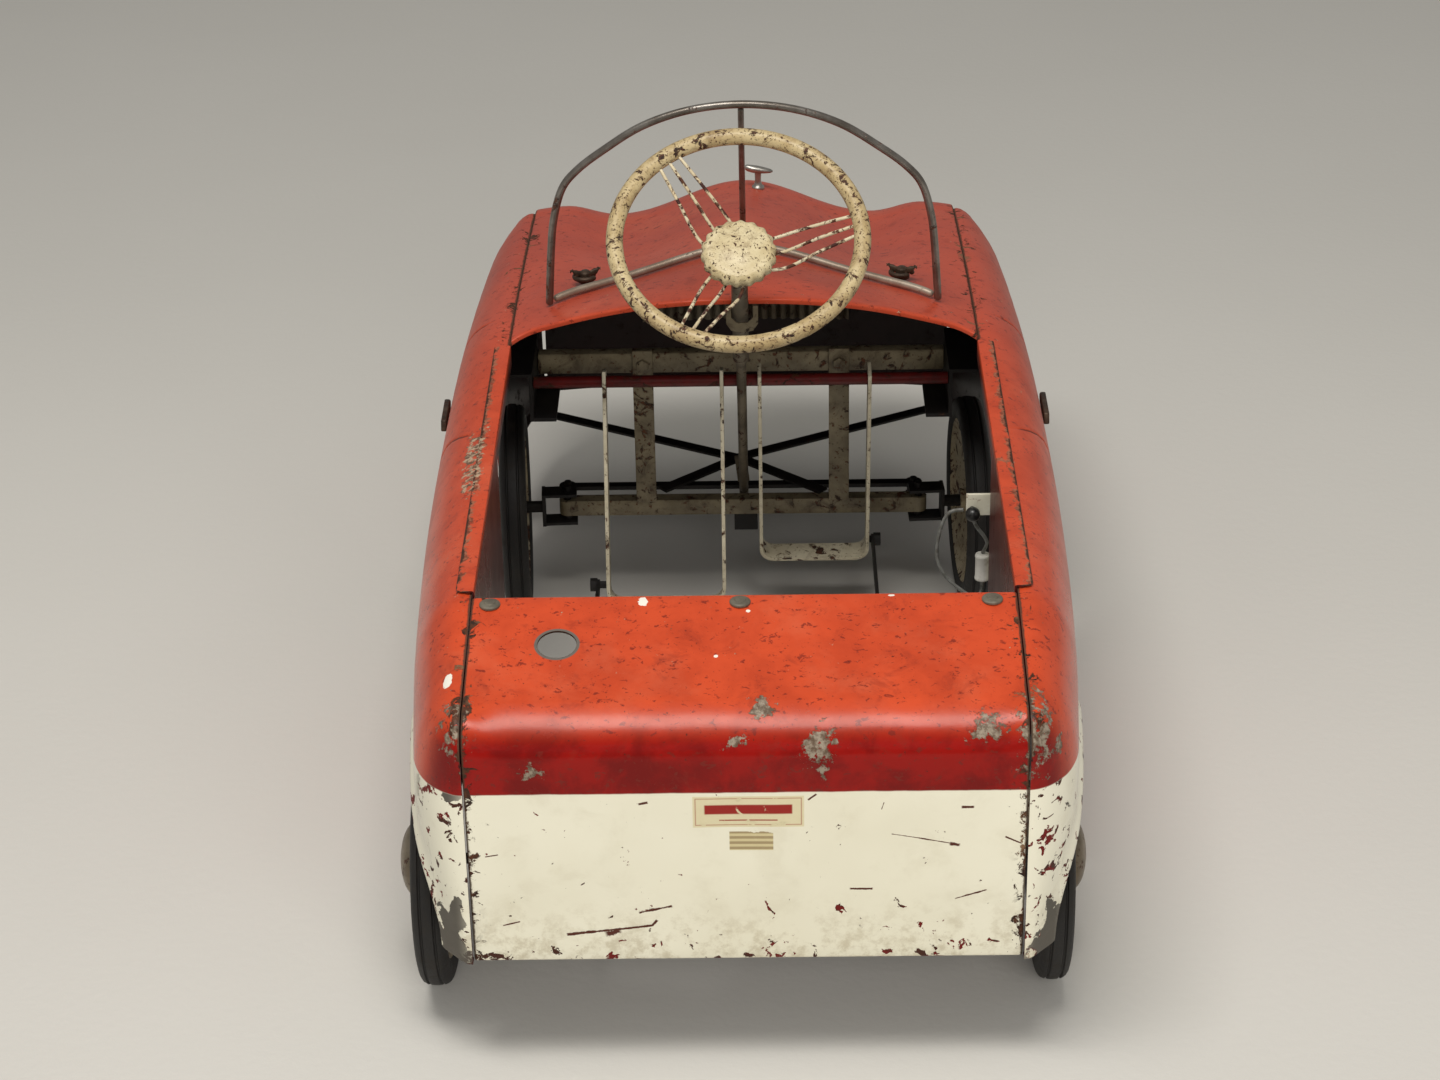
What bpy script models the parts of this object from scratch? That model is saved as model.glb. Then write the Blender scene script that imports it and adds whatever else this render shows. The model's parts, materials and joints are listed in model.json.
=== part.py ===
"""A child's pressed-steel pedal car, at rest on the floor, with every sub-part as its own object.

The car drives along +Y, +X is its right side, the floor is at Z = 0 and all lengths are metres.
"""

import math

import bmesh
import bpy
import numpy as np
from mathutils import Matrix, Vector

# Chassis
BODY_X = 0.0010
CHASSIS_X = -0.0025
REAR_AXLE_Y = -0.335
FRONT_AXLE_Y = 0.2005
WHEEL_RADIUS = 0.089
AXLE_Z = WHEEL_RADIUS
BOX_SHIFT_Y = -0.008
GAP = 0.0003
SHEET = 0.0012

# Body shell
TAIL_Y = -0.459
NOSE_Y = 0.452
SEAM_X = 0.186
SEAM_DECK_Z = 0.297
SEAM_CREST_Z = 0.2755
SEAM_CREST_Y = -0.430
SEAM_COWL_Z = 0.299
SEAM_COWL_Y = 0.0925
COWL_CORNER_REACH = 0.022
COWL_CORNER_SWEEP = 0.012
COWL_LIP = 0.0045
SEAM_WING_Z = 0.274
SEAM_WING_Y = 0.400
SEAM_NOSE_DROP = 0.062
SEAM_TAIL_DROP = 0.030
WIDEST_Y = -0.060
WIDEST_HALF = 0.2370
REAR_NARROWING = 0.116
FRONT_NARROWING = 0.050
SHOULDER_DEPTH = 0.070
TAIL_CORNER = 0.050
NOSE_CORNER = 0.110
SIDE_TUCK = 0.0125
TUCK_FROM_Z = 0.190
TAIL_SILL_Z = 0.085
MID_SILL_Z = 0.072
NOSE_SILL_Z = 0.066
LIP = 0.009
REAR_ARCH_RADIUS = 0.103
FRONT_ARCH_RADIUS = 0.115
ARCH_FLARE = 0.005
ARCH_FLARE_REACH = 0.016

# Bonnet, nose and deck
DECK_FRONT_Y = -0.327
COWL_CENTRE_Y = 0.058
COWL_CENTRE_Z = 0.344
SCREEN_CENTRE_Y = 0.182
BONNET_END_Z = 0.300
BONNET_END_Y = 0.400
BULGE_REACH = 0.300
BONNET_NOSE_Y = 0.468
BONNET_LIP_Z = 0.232
BULGE_HALF = 0.113
VALLEY_DEPTH = 0.009
WING_CROWN = 0.003
WING_CROWN_X = 0.157
NOSE_PANEL_BOTTOM = 0.084
NOSE_PANEL_SCALE = 0.985
GRILLE_HALF = 0.088
GRILLE_LOW_Z = 0.152
GRILLE_HIGH_Z = 0.188
HEADLIGHT_X = 0.132
HEADLIGHT_Z = 0.180
HEADLIGHT_RADIUS = 0.026
BOOT_SIDE_GAP = 0.0017
DECK_HOLE_X = -0.1243
DECK_HOLE_Y = -0.375
DECK_HOLE_RADIUS = 0.0132
DECK_HEADS_X = (-0.1716, -0.0018, 0.1690)
RAIL_WIDTH = 0.0110
RAIL_FRONT_Y = 0.071
RAIL_REAR_Y = -0.322
RAIL_FLANGE = 0.016
INNER_WALL_FRONT_Y = -0.097
INNER_WALL_DEPTH = 0.135

# Windscreen
SCREEN_ROD = 0.0031
SCREEN_BASE_X = 0.156
SCREEN_BASE_Y = 0.125
SCREEN_TOP_Y = 0.105
SCREEN_TOP_Z = 0.487

# Steering
COLUMN_ANGLE = math.radians(56.5)
STEERING_CENTRE = Vector((-0.0015, 0.0025, 0.4185))
STEER_REST = math.radians(3.0)
STEER_RATIO = 0.45
RIM_RADIUS = 0.0935
RIM_TUBE = 0.0065
SPOKE_RADIUS = 0.0013
BOSS_RADIUS = 0.0290
DISH = 0.018
COLUMN_RADIUS = 0.0065
ROD_RADIUS = 0.0040
DROP_ARM = 0.0194
DROP_ARM_LEVEL = -0.3735
DROP_PIN = 0.0300
FOOT_DISTANCE = 0.421
KINGPIN_X = 0.150
STEERING_ARM = 0.040
YOKE_HALF = 0.015
TIE_ROD_DROP = 0.0025

# Wheels
TYRE_HALF_WIDTH = 0.01125
DISC_RADIUS = 0.0702
REAR_HALF_TRACK = 0.2165
FRONT_HALF_TRACK = 0.1945
CAP_RADIUS = 0.0265

# Drive
PEDAL_PIVOT_Y = 0.140
PEDAL_PIVOT_Z = 0.235
PEDAL_ROD_RADIUS = 0.0050
PEDAL_INNER_X = 0.0140
PEDAL_OUTER_X = {"left": 0.1130, "right": 0.1070}
CONROD_GAP = {"left": 0.0058, "right": 0.0020}
CONROD_WALL = 0.0025
PEDAL_LENGTH = 0.185
PEDAL_STRIP = 0.0030
PEDAL_WIDTH = 0.020
PEDAL_BACK = math.radians(-17.0)
PEDAL_FORWARD = math.radians(11.0)
PEDAL_BOLT = 0.170
CRANK_RADIUS = 0.041
CRANK_PIN_HALF = 0.0095
AXLE_RADIUS = 0.0040

# Lighting set
BATTERY_X = 0.1835
BATTERY_Y = -0.058
BATTERY_RADIUS = 0.006
HOLDER_X = 0.1905
WIRE_RADIUS = 0.0014

ROUND = 24
SMALL_ROUND = 12


def clear_scene():
    for item in list(bpy.data.objects):
        bpy.data.objects.remove(item, do_unlink=True)


MATERIALS = {}


def material(name, colour, roughness, metallic=0.0):
    if name not in MATERIALS:
        made = bpy.data.materials.new(name)
        made.use_nodes = True
        shader = made.node_tree.nodes["Principled BSDF"]
        shader.inputs["Base Color"].default_value = (*colour, 1.0)
        shader.inputs["Roughness"].default_value = roughness
        shader.inputs["Metallic"].default_value = metallic
        MATERIALS[name] = made
    return MATERIALS[name]


def orange_paint():
    return material("orange_paint", (0.58, 0.075, 0.030), 0.50)


def red_paint():
    return material("red_paint", (0.34, 0.012, 0.010), 0.50)


def cream_paint():
    return material("cream_paint", (0.62, 0.57, 0.44), 0.45)


def dark_steel():
    return material("dark_steel", (0.030, 0.026, 0.024), 0.60, 0.6)


def bright_steel():
    return material("bright_steel", (0.52, 0.50, 0.46), 0.35, 1.0)


def black_rubber():
    return material("black_rubber", (0.015, 0.014, 0.014), 0.75)


def glass():
    return material("lamp_glass", (0.80, 0.80, 0.76), 0.15)


def white_plastic():
    return material("white_plastic", (0.72, 0.70, 0.64), 0.45)


def black_plastic():
    return material("black_plastic", (0.014, 0.013, 0.013), 0.40)


def wire_cover():
    return material("wire_cover", (0.30, 0.29, 0.27), 0.60)


def place(mesh, name, finish, origin=(0.0, 0.0, 0.0), turn=None, parent=None):
    """An object for this mesh, whose points are given relative to origin."""
    made = bpy.data.objects.new(name, mesh)
    bpy.context.scene.collection.objects.link(made)
    mesh.materials.append(finish)
    made.location = origin
    if turn:
        made.rotation_euler = turn
    if parent:
        made.parent = parent
    return made


def pivot(name, origin):
    made = bpy.data.objects.new(name, None)
    bpy.context.scene.collection.objects.link(made)
    made.location = origin
    return made


def mesh_of(points, faces, smooth_angle=35.0):
    """A mesh whose faces all look outwards."""
    mesh = bpy.data.meshes.new("mesh")
    build = bmesh.new()
    corners = [build.verts.new(point) for point in points]
    for face in faces:
        build.faces.new([corners[index] for index in face])
    bmesh.ops.recalc_face_normals(build, faces=build.faces)
    build.to_mesh(mesh)
    build.free()
    mesh.shade_smooth()
    mesh.set_sharp_from_angle(angle=math.radians(smooth_angle))
    return mesh


def grid_normals(grid):
    along = np.gradient(grid, axis=0)
    across = np.gradient(grid, axis=1)
    normals = np.cross(along, across)
    return normals / np.linalg.norm(normals, axis=2, keepdims=True)


def sheet_mesh(grid, inwards, thickness=SHEET):
    """A closed sheet between a grid of surface points and the same grid moved along its normals."""
    grid = np.array(grid, float)
    normals = grid_normals(grid)
    towards = np.sum(normals * (np.array(inwards) - grid), axis=2).mean()
    inner = grid + normals * thickness * (1.0 if towards > 0.0 else -1.0)
    rows, columns = grid.shape[:2]
    points = [tuple(p) for layer in (grid, inner) for p in layer.reshape(-1, 3)]
    layer_size = rows * columns

    def at(row, column, layer):
        return layer * layer_size + row * columns + column

    faces = []
    for layer in (0, 1):
        for row in range(rows - 1):
            for column in range(columns - 1):
                faces.append(
                    (
                        at(row, column, layer),
                        at(row, column + 1, layer),
                        at(row + 1, column + 1, layer),
                        at(row + 1, column, layer),
                    )
                )
    edge = [(0, column) for column in range(columns)]
    edge += [(row, columns - 1) for row in range(1, rows)]
    edge += [(rows - 1, column) for column in range(columns - 2, -1, -1)]
    edge += [(row, 0) for row in range(rows - 2, 0, -1)]
    for start, end in zip(edge, edge[1:] + edge[:1]):
        faces.append((at(*start, 0), at(*end, 0), at(*end, 1), at(*start, 1)))
    return mesh_of(points, faces)


def turned_mesh(profile, count=ROUND, axis="Z"):
    """A profile of (radius, height) pairs turned about an axis. A radius of 0 closes the end."""
    points = []
    rings = []
    for radius, height in profile:
        if radius == 0.0:
            rings.append([len(points)])
            points.append((0.0, 0.0, height))
            continue
        rings.append(list(range(len(points), len(points) + count)))
        for step in range(count):
            angle = 2.0 * math.pi * step / count
            points.append((radius * math.cos(angle), radius * math.sin(angle), height))
    pairs = list(zip(rings, rings[1:]))
    if len(rings[0]) > 1:
        pairs.append((rings[-1], rings[0]))
    faces = []
    for low, high in pairs:
        for step in range(count):
            after = (step + 1) % count
            if len(low) == 1:
                faces.append((low[0], high[after], high[step]))
            elif len(high) == 1:
                faces.append((low[step], low[after], high[0]))
            else:
                faces.append((low[step], low[after], high[after], high[step]))
    if axis == "X":
        points = [(z, x, y) for x, y, z in points]
    elif axis == "Y":
        points = [(y, z, x) for x, y, z in points]
    return mesh_of(points, faces)


def cylinder_mesh(radius, low, high, axis="Z", count=SMALL_ROUND):
    return turned_mesh([(0.0, low), (radius, low), (radius, high), (0.0, high)], count, axis)


def box_mesh(low, high):
    xs, ys, zs = zip(low, high)
    points = [(x, y, z) for x in xs for y in ys for z in zs]
    faces = [(0, 1, 3, 2), (4, 6, 7, 5), (0, 4, 5, 1), (2, 3, 7, 6), (0, 2, 6, 4), (1, 5, 7, 3)]
    return mesh_of(points, faces)


def extruded_mesh(outline, low, high, axis):
    """A flat outline of (a, b) pairs pushed from low to high along an axis."""
    count = len(outline)
    order = {"X": lambda a, b, c: (c, a, b), "Y": lambda a, b, c: (a, c, b), "Z": lambda a, b, c: (a, b, c)}
    points = [order[axis](a, b, level) for level in (low, high) for a, b in outline]
    faces = [tuple(range(count)), tuple(range(2 * count - 1, count - 1, -1))]
    for step in range(count):
        after = (step + 1) % count
        faces.append((step, after, count + after, count + step))
    return mesh_of(points, faces)


def tube_mesh(path, radius, count=8):
    """A round rod swept along a path of points, mitred at each bend."""
    path = [Vector(point) for point in path]
    rings = []
    side = None
    for index, point in enumerate(path):
        before = (point - path[index - 1]).normalized() if index else None
        after = (path[index + 1] - point).normalized() if index < len(path) - 1 else None
        along = ((before or after) + (after or before)).normalized()
        leg = before or after
        if side is None:
            side = leg.orthogonal().normalized()
        side = (side - leg * side.dot(leg)).normalized()
        other = leg.cross(side)
        ring = []
        for step in range(count):
            angle = 2.0 * math.pi * (step + 0.5) / count
            offset = (side * math.cos(angle) + other * math.sin(angle)) * radius
            offset -= leg * (offset.dot(along) / leg.dot(along))
            ring.append(point + offset)
        rings.append(ring)
    points = [tuple(corner) for ring in rings for corner in ring]
    faces = [tuple(range(count)), tuple(range(len(points) - 1, len(points) - count - 1, -1))]
    for level in range(len(rings) - 1):
        for step in range(count):
            after = (step + 1) % count
            low, high = level * count, (level + 1) * count
            faces.append((low + step, low + after, high + after, high + step))
    return mesh_of(points, faces)


def helper_group(owner, meshes):
    """A collection of hidden helper objects for a Boolean on the owner."""
    group = bpy.data.collections.new(owner.name + "_helpers")
    bpy.context.scene.collection.children.link(group)
    for index, mesh in enumerate(meshes):
        helper = bpy.data.objects.new(f"{owner.name}_helper_{index}", mesh)
        group.objects.link(helper)
        helper.parent = owner
        helper.hide_render = True
        helper.display_type = "WIRE"
    return group


def combine(owner, meshes, operation):
    """Boolean helpers given in the owner's own coordinates."""
    change = owner.modifiers.new(operation.lower(), "BOOLEAN")
    change.operation = operation
    change.operand_type = "COLLECTION"
    change.collection = helper_group(owner, meshes)
    change.solver = "EXACT"


def smooth_path(points, steps):
    """A Catmull-Rom curve through the points, with a number of steps for each span."""
    points = [Vector(point) for point in points]
    padded = [2 * points[0] - points[1]] + points + [2 * points[-1] - points[-2]]
    path = []
    for index in range(1, len(padded) - 2):
        a, b, c, d = padded[index - 1 : index + 3]
        for step in range(steps):
            t = step / steps
            bend = (2 * a - 5 * b + 4 * c - d) * t**2 + (3 * b - a - 3 * c + d) * t**3
            path.append(0.5 * (2 * b + (c - a) * t + bend))
    path.append(points[-1])
    return path


def ease(value):
    value = min(max(value, 0.0), 1.0)
    return value * value * (3.0 - 2.0 * value)


def mix(low, high, share):
    return low + (high - low) * share


def quarter(distance, reach):
    """0 at an edge, rising like a quarter circle to 1 at the reach."""
    share = min(max(distance / reach, 0.0), 1.0)
    return math.sqrt(1.0 - (1.0 - share) ** 2)


# The body's surfaces


def seam_z(y):
    """Height of the long pinched seam between the side panels and the bonnet and deck."""
    if y < SEAM_CREST_Y:
        fall = 1.0 - quarter(y - TAIL_Y, SEAM_CREST_Y - TAIL_Y)
        return SEAM_CREST_Z - SEAM_TAIL_DROP * fall
    if y < DECK_FRONT_Y:
        return mix(SEAM_CREST_Z, SEAM_DECK_Z, (y - SEAM_CREST_Y) / (DECK_FRONT_Y - SEAM_CREST_Y))
    if y < SEAM_COWL_Y:
        return mix(SEAM_DECK_Z, SEAM_COWL_Z, (y - DECK_FRONT_Y) / (SEAM_COWL_Y - DECK_FRONT_Y))
    level = mix(SEAM_COWL_Z, SEAM_WING_Z, ((y - SEAM_COWL_Y) / (SEAM_WING_Y - SEAM_COWL_Y)) ** 1.5)
    if y < SEAM_WING_Y:
        return level
    return SEAM_WING_Z - SEAM_NOSE_DROP * (1.0 - quarter(NOSE_Y - y, NOSE_Y - SEAM_WING_Y))


def half_width(y):
    narrowing = REAR_NARROWING if y < WIDEST_Y else FRONT_NARROWING
    return WIDEST_HALF - narrowing * (y - WIDEST_Y) ** 2


def arch_distance(y, z):
    """How far a side point is outside the nearer wheel arch."""
    rear = math.hypot(y - REAR_AXLE_Y, z - AXLE_Z) - REAR_ARCH_RADIUS
    front = math.hypot(y - FRONT_AXLE_Y, z - AXLE_Z) - FRONT_ARCH_RADIUS
    return min(abs(rear), abs(front))


def side_x(y, z):
    """Distance of the side skin from the body's middle plane."""
    tuck = SIDE_TUCK * ease((TUCK_FROM_Z - z) / (TUCK_FROM_Z - TAIL_SILL_Z))
    full = half_width(y) - SEAM_X - tuck
    rounding = quarter(seam_z(y) - z, SHOULDER_DEPTH)
    rounding *= quarter(y - TAIL_Y, TAIL_CORNER) * quarter(NOSE_Y - y, NOSE_CORNER)
    flare = ARCH_FLARE * ease(1.0 - arch_distance(y, z) / ARCH_FLARE_REACH)
    return SEAM_X + full * rounding + flare * ease(rounding)


def sill_z(y):
    if y < REAR_AXLE_Y:
        return TAIL_SILL_Z
    if y < FRONT_AXLE_Y:
        return MID_SILL_Z
    return NOSE_SILL_Z


def arch_z(y):
    """Height of the side panel's lower edge."""
    for centre, radius in ((REAR_AXLE_Y, REAR_ARCH_RADIUS), (FRONT_AXLE_Y, FRONT_ARCH_RADIUS)):
        if abs(y - centre) < radius - 1e-6:
            return AXLE_Z + math.sqrt(radius**2 - (y - centre) ** 2)
    return sill_z(y)


def side_stations():
    """Places along the car where the side panel's grid has a column."""
    stations = []
    for share in (0.0, 0.04, 0.16, 0.36):
        stations.append(TAIL_Y + share * TAIL_CORNER)
    arch_turns = (-90, -82, -66, -45, -22, 0, 22, 45, 66, 82, 90)
    for centre, radius in ((REAR_AXLE_Y, REAR_ARCH_RADIUS), (FRONT_AXLE_Y, FRONT_ARCH_RADIUS)):
        stations.append(centre - radius)
        for turn in arch_turns[1:-1]:
            stations.append(centre + radius * math.sin(math.radians(turn)))
        stations.append(centre + radius)
    for y in (-0.16, -0.09, -0.02, 0.05):
        stations.append(y)
    for share in (0.90, 0.55, 0.28, 0.10, 0.0):
        stations.append(NOSE_Y - share * NOSE_CORNER)
    return sorted(stations)


def side_grid(sign):
    grid = []
    for y in side_stations():
        top, low = seam_z(y), arch_z(y)
        shoulder = min(SHOULDER_DEPTH, 0.55 * (top - low))
        heights = [top - shoulder * (1.0 - math.cos(math.radians(turn))) for turn in (0, 22, 42, 62, 90)]
        knee = heights[-1]
        flare_top = min(low + ARCH_FLARE_REACH, mix(low, knee, 0.6))
        heights += [mix(knee, flare_top, 0.5), flare_top, mix(flare_top, low, 0.55), low]
        column = [Vector((sign * side_x(y, z), y, z)) for z in heights]
        column.append(column[-1] + lip_step(y, low, sign))
        grid.append([tuple(point + Vector((BODY_X, 0.0, 0.0))) for point in column])
    return grid


def lip_step(y, z, sign):
    """The in-turned lip's step, level and square to the skin."""
    reach = 0.002
    slope = (side_x(y + reach, z) - side_x(y - reach, z)) / (2.0 * reach)
    if y - TAIL_Y < reach:
        return Vector((0.0, LIP, 0.0))
    if NOSE_Y - y < reach:
        return Vector((0.0, -LIP, 0.0))
    return Vector((-sign, slope, 0.0)).normalized() * LIP


def make_side_panel(name, sign):
    mesh = sheet_mesh(side_grid(sign), (BODY_X, 0.0, 0.15))
    return place(mesh, name, orange_paint())


def bonnet_centre_z(y):
    """Height of the bonnet along the middle."""
    share = (y - COWL_CENTRE_Y) / (BONNET_END_Y - COWL_CENTRE_Y)
    return mix(COWL_CENTRE_Z, BONNET_END_Z, share**1.25 if share > 0.0 else share)


def bonnet_z(x, y):
    """Height of the bonnet: an arch at the cowl, a central bulge between wing tops at the nose."""
    edge = seam_z(min(y, SEAM_WING_Y))
    crown = bonnet_centre_z(y) - edge
    share = abs(x) / SEAM_X
    arch = 1.0 - share**2.2
    forward = ease((y - COWL_CENTRE_Y) / BULGE_REACH)
    return edge + mix(crown * arch, nose_height(abs(x), crown), forward)


def nose_height(x, crown):
    """Height above the seam at the front: the central bulge, a valley, and the wing's crown."""
    if x < BULGE_HALF:
        return mix(-VALLEY_DEPTH, crown, 0.5 + 0.5 * math.cos(math.pi * x / BULGE_HALF))
    if x < WING_CROWN_X:
        return mix(-VALLEY_DEPTH, WING_CROWN, ease((x - BULGE_HALF) / (WING_CROWN_X - BULGE_HALF)))
    return WING_CROWN * (1.0 - ((x - WING_CROWN_X) / (SEAM_X - WING_CROWN_X)) ** 2)


def cowl_y(x):
    """The bonnet's rear edge, bowed back in the middle and swept back again at its corners."""
    corner = max(1.0 - (SEAM_X - abs(x)) / COWL_CORNER_REACH, 0.0)
    return mix(COWL_CENTRE_Y, SEAM_COWL_Y, (abs(x) / SEAM_X) ** 2) - COWL_CORNER_SWEEP * corner**2


def nose_y(x):
    """The nose's foremost line, bowed forward in the middle."""
    return mix(BONNET_NOSE_Y, NOSE_Y, (abs(x) / SEAM_X) ** 2)


BONNET_WIDTHS = (-1.0, -0.93, -0.84, -0.72, -0.60, -0.46, -0.30, -0.15, 0.0)


def bonnet_widths():
    return [share * SEAM_X for share in BONNET_WIDTHS + tuple(-s for s in BONNET_WIDTHS[-2::-1])]


def bonnet_column(x):
    """Points of the bonnet along the car at one distance from the middle."""
    side = x * (SEAM_X - GAP) / SEAM_X
    start = cowl_y(x)
    bend = SEAM_WING_Y
    column = [Vector((side, start + 0.0006, bonnet_z(x, start) - COWL_LIP))]
    for share in (0.0, 0.06, 0.18, 0.34, 0.50, 0.66, 0.83, 1.0):
        y = mix(start, bend, share)
        column.append(Vector((side, y, bonnet_z(x, y))))
    top = bonnet_z(x, bend)
    for turn in (18, 36, 54, 72, 90):
        angle = math.radians(turn)
        y = mix(bend, nose_y(x), math.sin(angle))
        z = top - (top - BONNET_LIP_Z - 0.006) * (1.0 - math.cos(angle))
        column.append(Vector((side, y, z)))
    column.append(Vector((side, nose_y(x), BONNET_LIP_Z)))
    return column


def make_bonnet():
    shift = Vector((BODY_X, 0.0, 0.0))
    grid = [[tuple(point + shift) for point in bonnet_column(x)] for x in bonnet_widths()]
    bonnet = place(sheet_mesh(grid, (BODY_X, 0.2, 0.10)), "bonnet", orange_paint())
    notch = cylinder_mesh(COLUMN_RADIUS + 0.0012, -0.130, -0.040, count=16)
    lean = Matrix.Rotation(math.pi / 2.0 - COLUMN_ANGLE, 4, "X")
    notch.transform(Matrix.Translation(STEERING_CENTRE) @ lean)
    combine(bonnet, [notch], "DIFFERENCE")
    return bonnet


def make_nose_panel():
    grid = []
    for x in bonnet_widths():
        side = BODY_X + x * NOSE_PANEL_SCALE
        front = nose_y(x)
        column = [(side, front - 0.012, BONNET_LIP_Z - 0.004), (side, front, BONNET_LIP_Z - 0.004)]
        for z in (0.205, 0.160, 0.115):
            column.append((side, front, z))
        column.append((side, front - 0.003, NOSE_PANEL_BOTTOM))
        column.append((side, front - 0.015, NOSE_PANEL_BOTTOM))
        grid.append(column)
    panel = place(sheet_mesh(grid, (BODY_X, 0.2, 0.18)), "nose_panel", cream_paint())
    low = (BODY_X - GRILLE_HALF, NOSE_Y - 0.010, GRILLE_LOW_Z)
    high = (BODY_X + GRILLE_HALF, NOSE_Y + 0.04, GRILLE_HIGH_Z)
    opening = box_mesh(low, high)
    combine(panel, [opening], "DIFFERENCE")
    return panel


def make_grille():
    """A pleated plate behind the nose panel's opening."""
    pleats = 22
    half = GRILLE_HALF + 0.007
    grid = []
    for step in range(2 * pleats + 1):
        x = mix(-half, half, step / (2 * pleats))
        depth = nose_y(x) - 0.0085 + (0.004 if step % 2 else 0.0)
        grid.append([(BODY_X + x, depth, z) for z in (GRILLE_LOW_Z - 0.007, GRILLE_HIGH_Z + 0.007)])
    return place(sheet_mesh(grid, (BODY_X, 0.2, 0.17)), "grille", bright_steel())


def boot_profile():
    """Side view of the deck and the rear panel, from the deck's front lip to the lower lip."""
    front = Vector((DECK_FRONT_Y, SEAM_DECK_Z))
    crest = Vector((SEAM_CREST_Y, SEAM_CREST_Z))
    profile = [front + Vector((0.0012, -0.012)), front, mix(front, crest, 0.5), crest]
    for y in (TAIL_Y + 0.012, TAIL_Y + 0.004, TAIL_Y + 0.0008, TAIL_Y):
        profile.append(Vector((y, seam_z(y))))
    for y, z in ((TAIL_Y, 0.200), (TAIL_Y + 0.003, 0.140), (TAIL_Y + 0.007, TAIL_SILL_Z)):
        profile.append(Vector((y, z)))
    profile.append(profile[-1] + Vector((0.010, 0.0)))
    return profile


def make_boot_panel():
    grid = []
    for share in (-1.0, -0.5, 0.0, 0.5, 1.0):
        x = BODY_X + share * (SEAM_X - BOOT_SIDE_GAP)
        grid.append([(x, point[0], point[1]) for point in boot_profile()])
    panel = place(sheet_mesh(grid, (BODY_X, -0.39, 0.18)), "boot_panel", orange_paint())
    hole = cylinder_mesh(DECK_HOLE_RADIUS, 0.25, 0.33, "Z", ROUND)
    hole.transform(Matrix.Translation((DECK_HOLE_X, DECK_HOLE_Y, 0.0)))
    combine(panel, [hole], "DIFFERENCE")
    heads = []
    for x in DECK_HEADS_X:
        y = DECK_FRONT_Y - 0.008
        head = turned_mesh([(0.0, -0.0005), (0.0072, -0.0005), (0.0060, 0.0018), (0.0, 0.0026)], SMALL_ROUND)
        head.transform(Matrix.Translation((x, y, seam_z(y))))
        heads.append(head)
    combine(panel, heads, "UNION")
    return panel


def rail_point(sign, y, across):
    """A point of the side panel's skin, measured across from the seam."""
    z = seam_z(y)
    for _ in range(40):
        if side_x(y, z) - SEAM_X >= across:
            break
        z -= 0.0005
    return Vector((BODY_X + sign * (SEAM_X + across), y, z))


def make_cockpit_rail(name, sign):
    """A folded strip over the cockpit's edge, with a wall hanging from its rear half beside the seat."""
    lift = SHEET + 2.0 * GAP
    grid = []
    stations = [(mix(RAIL_REAR_Y, INNER_WALL_FRONT_Y, step / 5), INNER_WALL_DEPTH) for step in range(6)]
    stations += [(mix(INNER_WALL_FRONT_Y + 0.001, RAIL_FRONT_Y, step / 4), RAIL_FLANGE) for step in range(5)]
    for y, depth in stations:
        inner = Vector((BODY_X + sign * (SEAM_X - lift), y, seam_z(y) + lift))
        column = [inner + Vector((0.0, 0.0, -level)) for level in (depth, RAIL_FLANGE / 2.0, 0.0)]
        for across, slope in ((0.003, 0.08), (0.007, 0.16), (RAIL_WIDTH, 0.25)):
            column.append(rail_point(sign, y, across) + Vector((sign * slope, 0.0, 1.0)).normalized() * lift)
        grid.append([tuple(point) for point in column])
    return place(sheet_mesh(grid, (BODY_X, -0.10, -0.5)), name, orange_paint())


def make_door_handle(name, sign):
    outline = [(-0.022, -0.004), (-0.018, 0.004), (0.018, 0.005)]
    outline += [(0.024, 0.001), (0.020, -0.005), (-0.018, -0.006)]
    y, z = 0.072, 0.240
    surface = BODY_X + sign * side_x(y, z)
    low, high = sorted((surface + sign * 0.0014, surface + sign * 0.0060))
    mesh = extruded_mesh([(y + a, z + b) for a, b in outline], low, high, "X")
    return place(mesh, name, dark_steel())


def make_headlight(side, sign):
    centre = Vector((BODY_X + sign * HEADLIGHT_X, nose_y(HEADLIGHT_X - HEADLIGHT_RADIUS) + GAP, HEADLIGHT_Z))
    outer = HEADLIGHT_RADIUS
    profile = [
        (0.0, 0.0),
        (outer, 0.0),
        (outer, 0.004),
        (outer - 0.005, 0.0065),
        (outer - 0.012, 0.0105),
        (0.0, 0.0120),
    ]
    mesh = turned_mesh(profile, 20, "Y")
    return place(mesh, "headlight_" + side, bright_steel(), centre)


# Windscreen


def screen_hoop_path():
    top = SCREEN_TOP_Z
    foot_z = bonnet_z(SCREEN_BASE_X, SCREEN_BASE_Y) + GAP + 0.001
    left = [
        (-SCREEN_BASE_X, SCREEN_BASE_Y, foot_z),
        (-0.1525, 0.1210, foot_z + 0.048),
        (-0.1490, 0.1180, top - 0.099),
        (-0.1415, 0.1155, top - 0.0725),
        (-0.1290, 0.1135, top - 0.0560),
        (-0.1090, 0.1110, top - 0.0395),
        (-0.0770, 0.1080, top - 0.0180),
        (-0.0400, 0.1060, top - 0.0046),
    ]
    right = [(-x, y, z) for x, y, z in reversed(left)]
    return smooth_path(left + [(0.0, SCREEN_TOP_Y, top)] + right, 2)


def screen_base_y(x):
    return mix(SCREEN_CENTRE_Y, SCREEN_BASE_Y, (abs(x) / SCREEN_BASE_X) ** 1.7)


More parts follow.
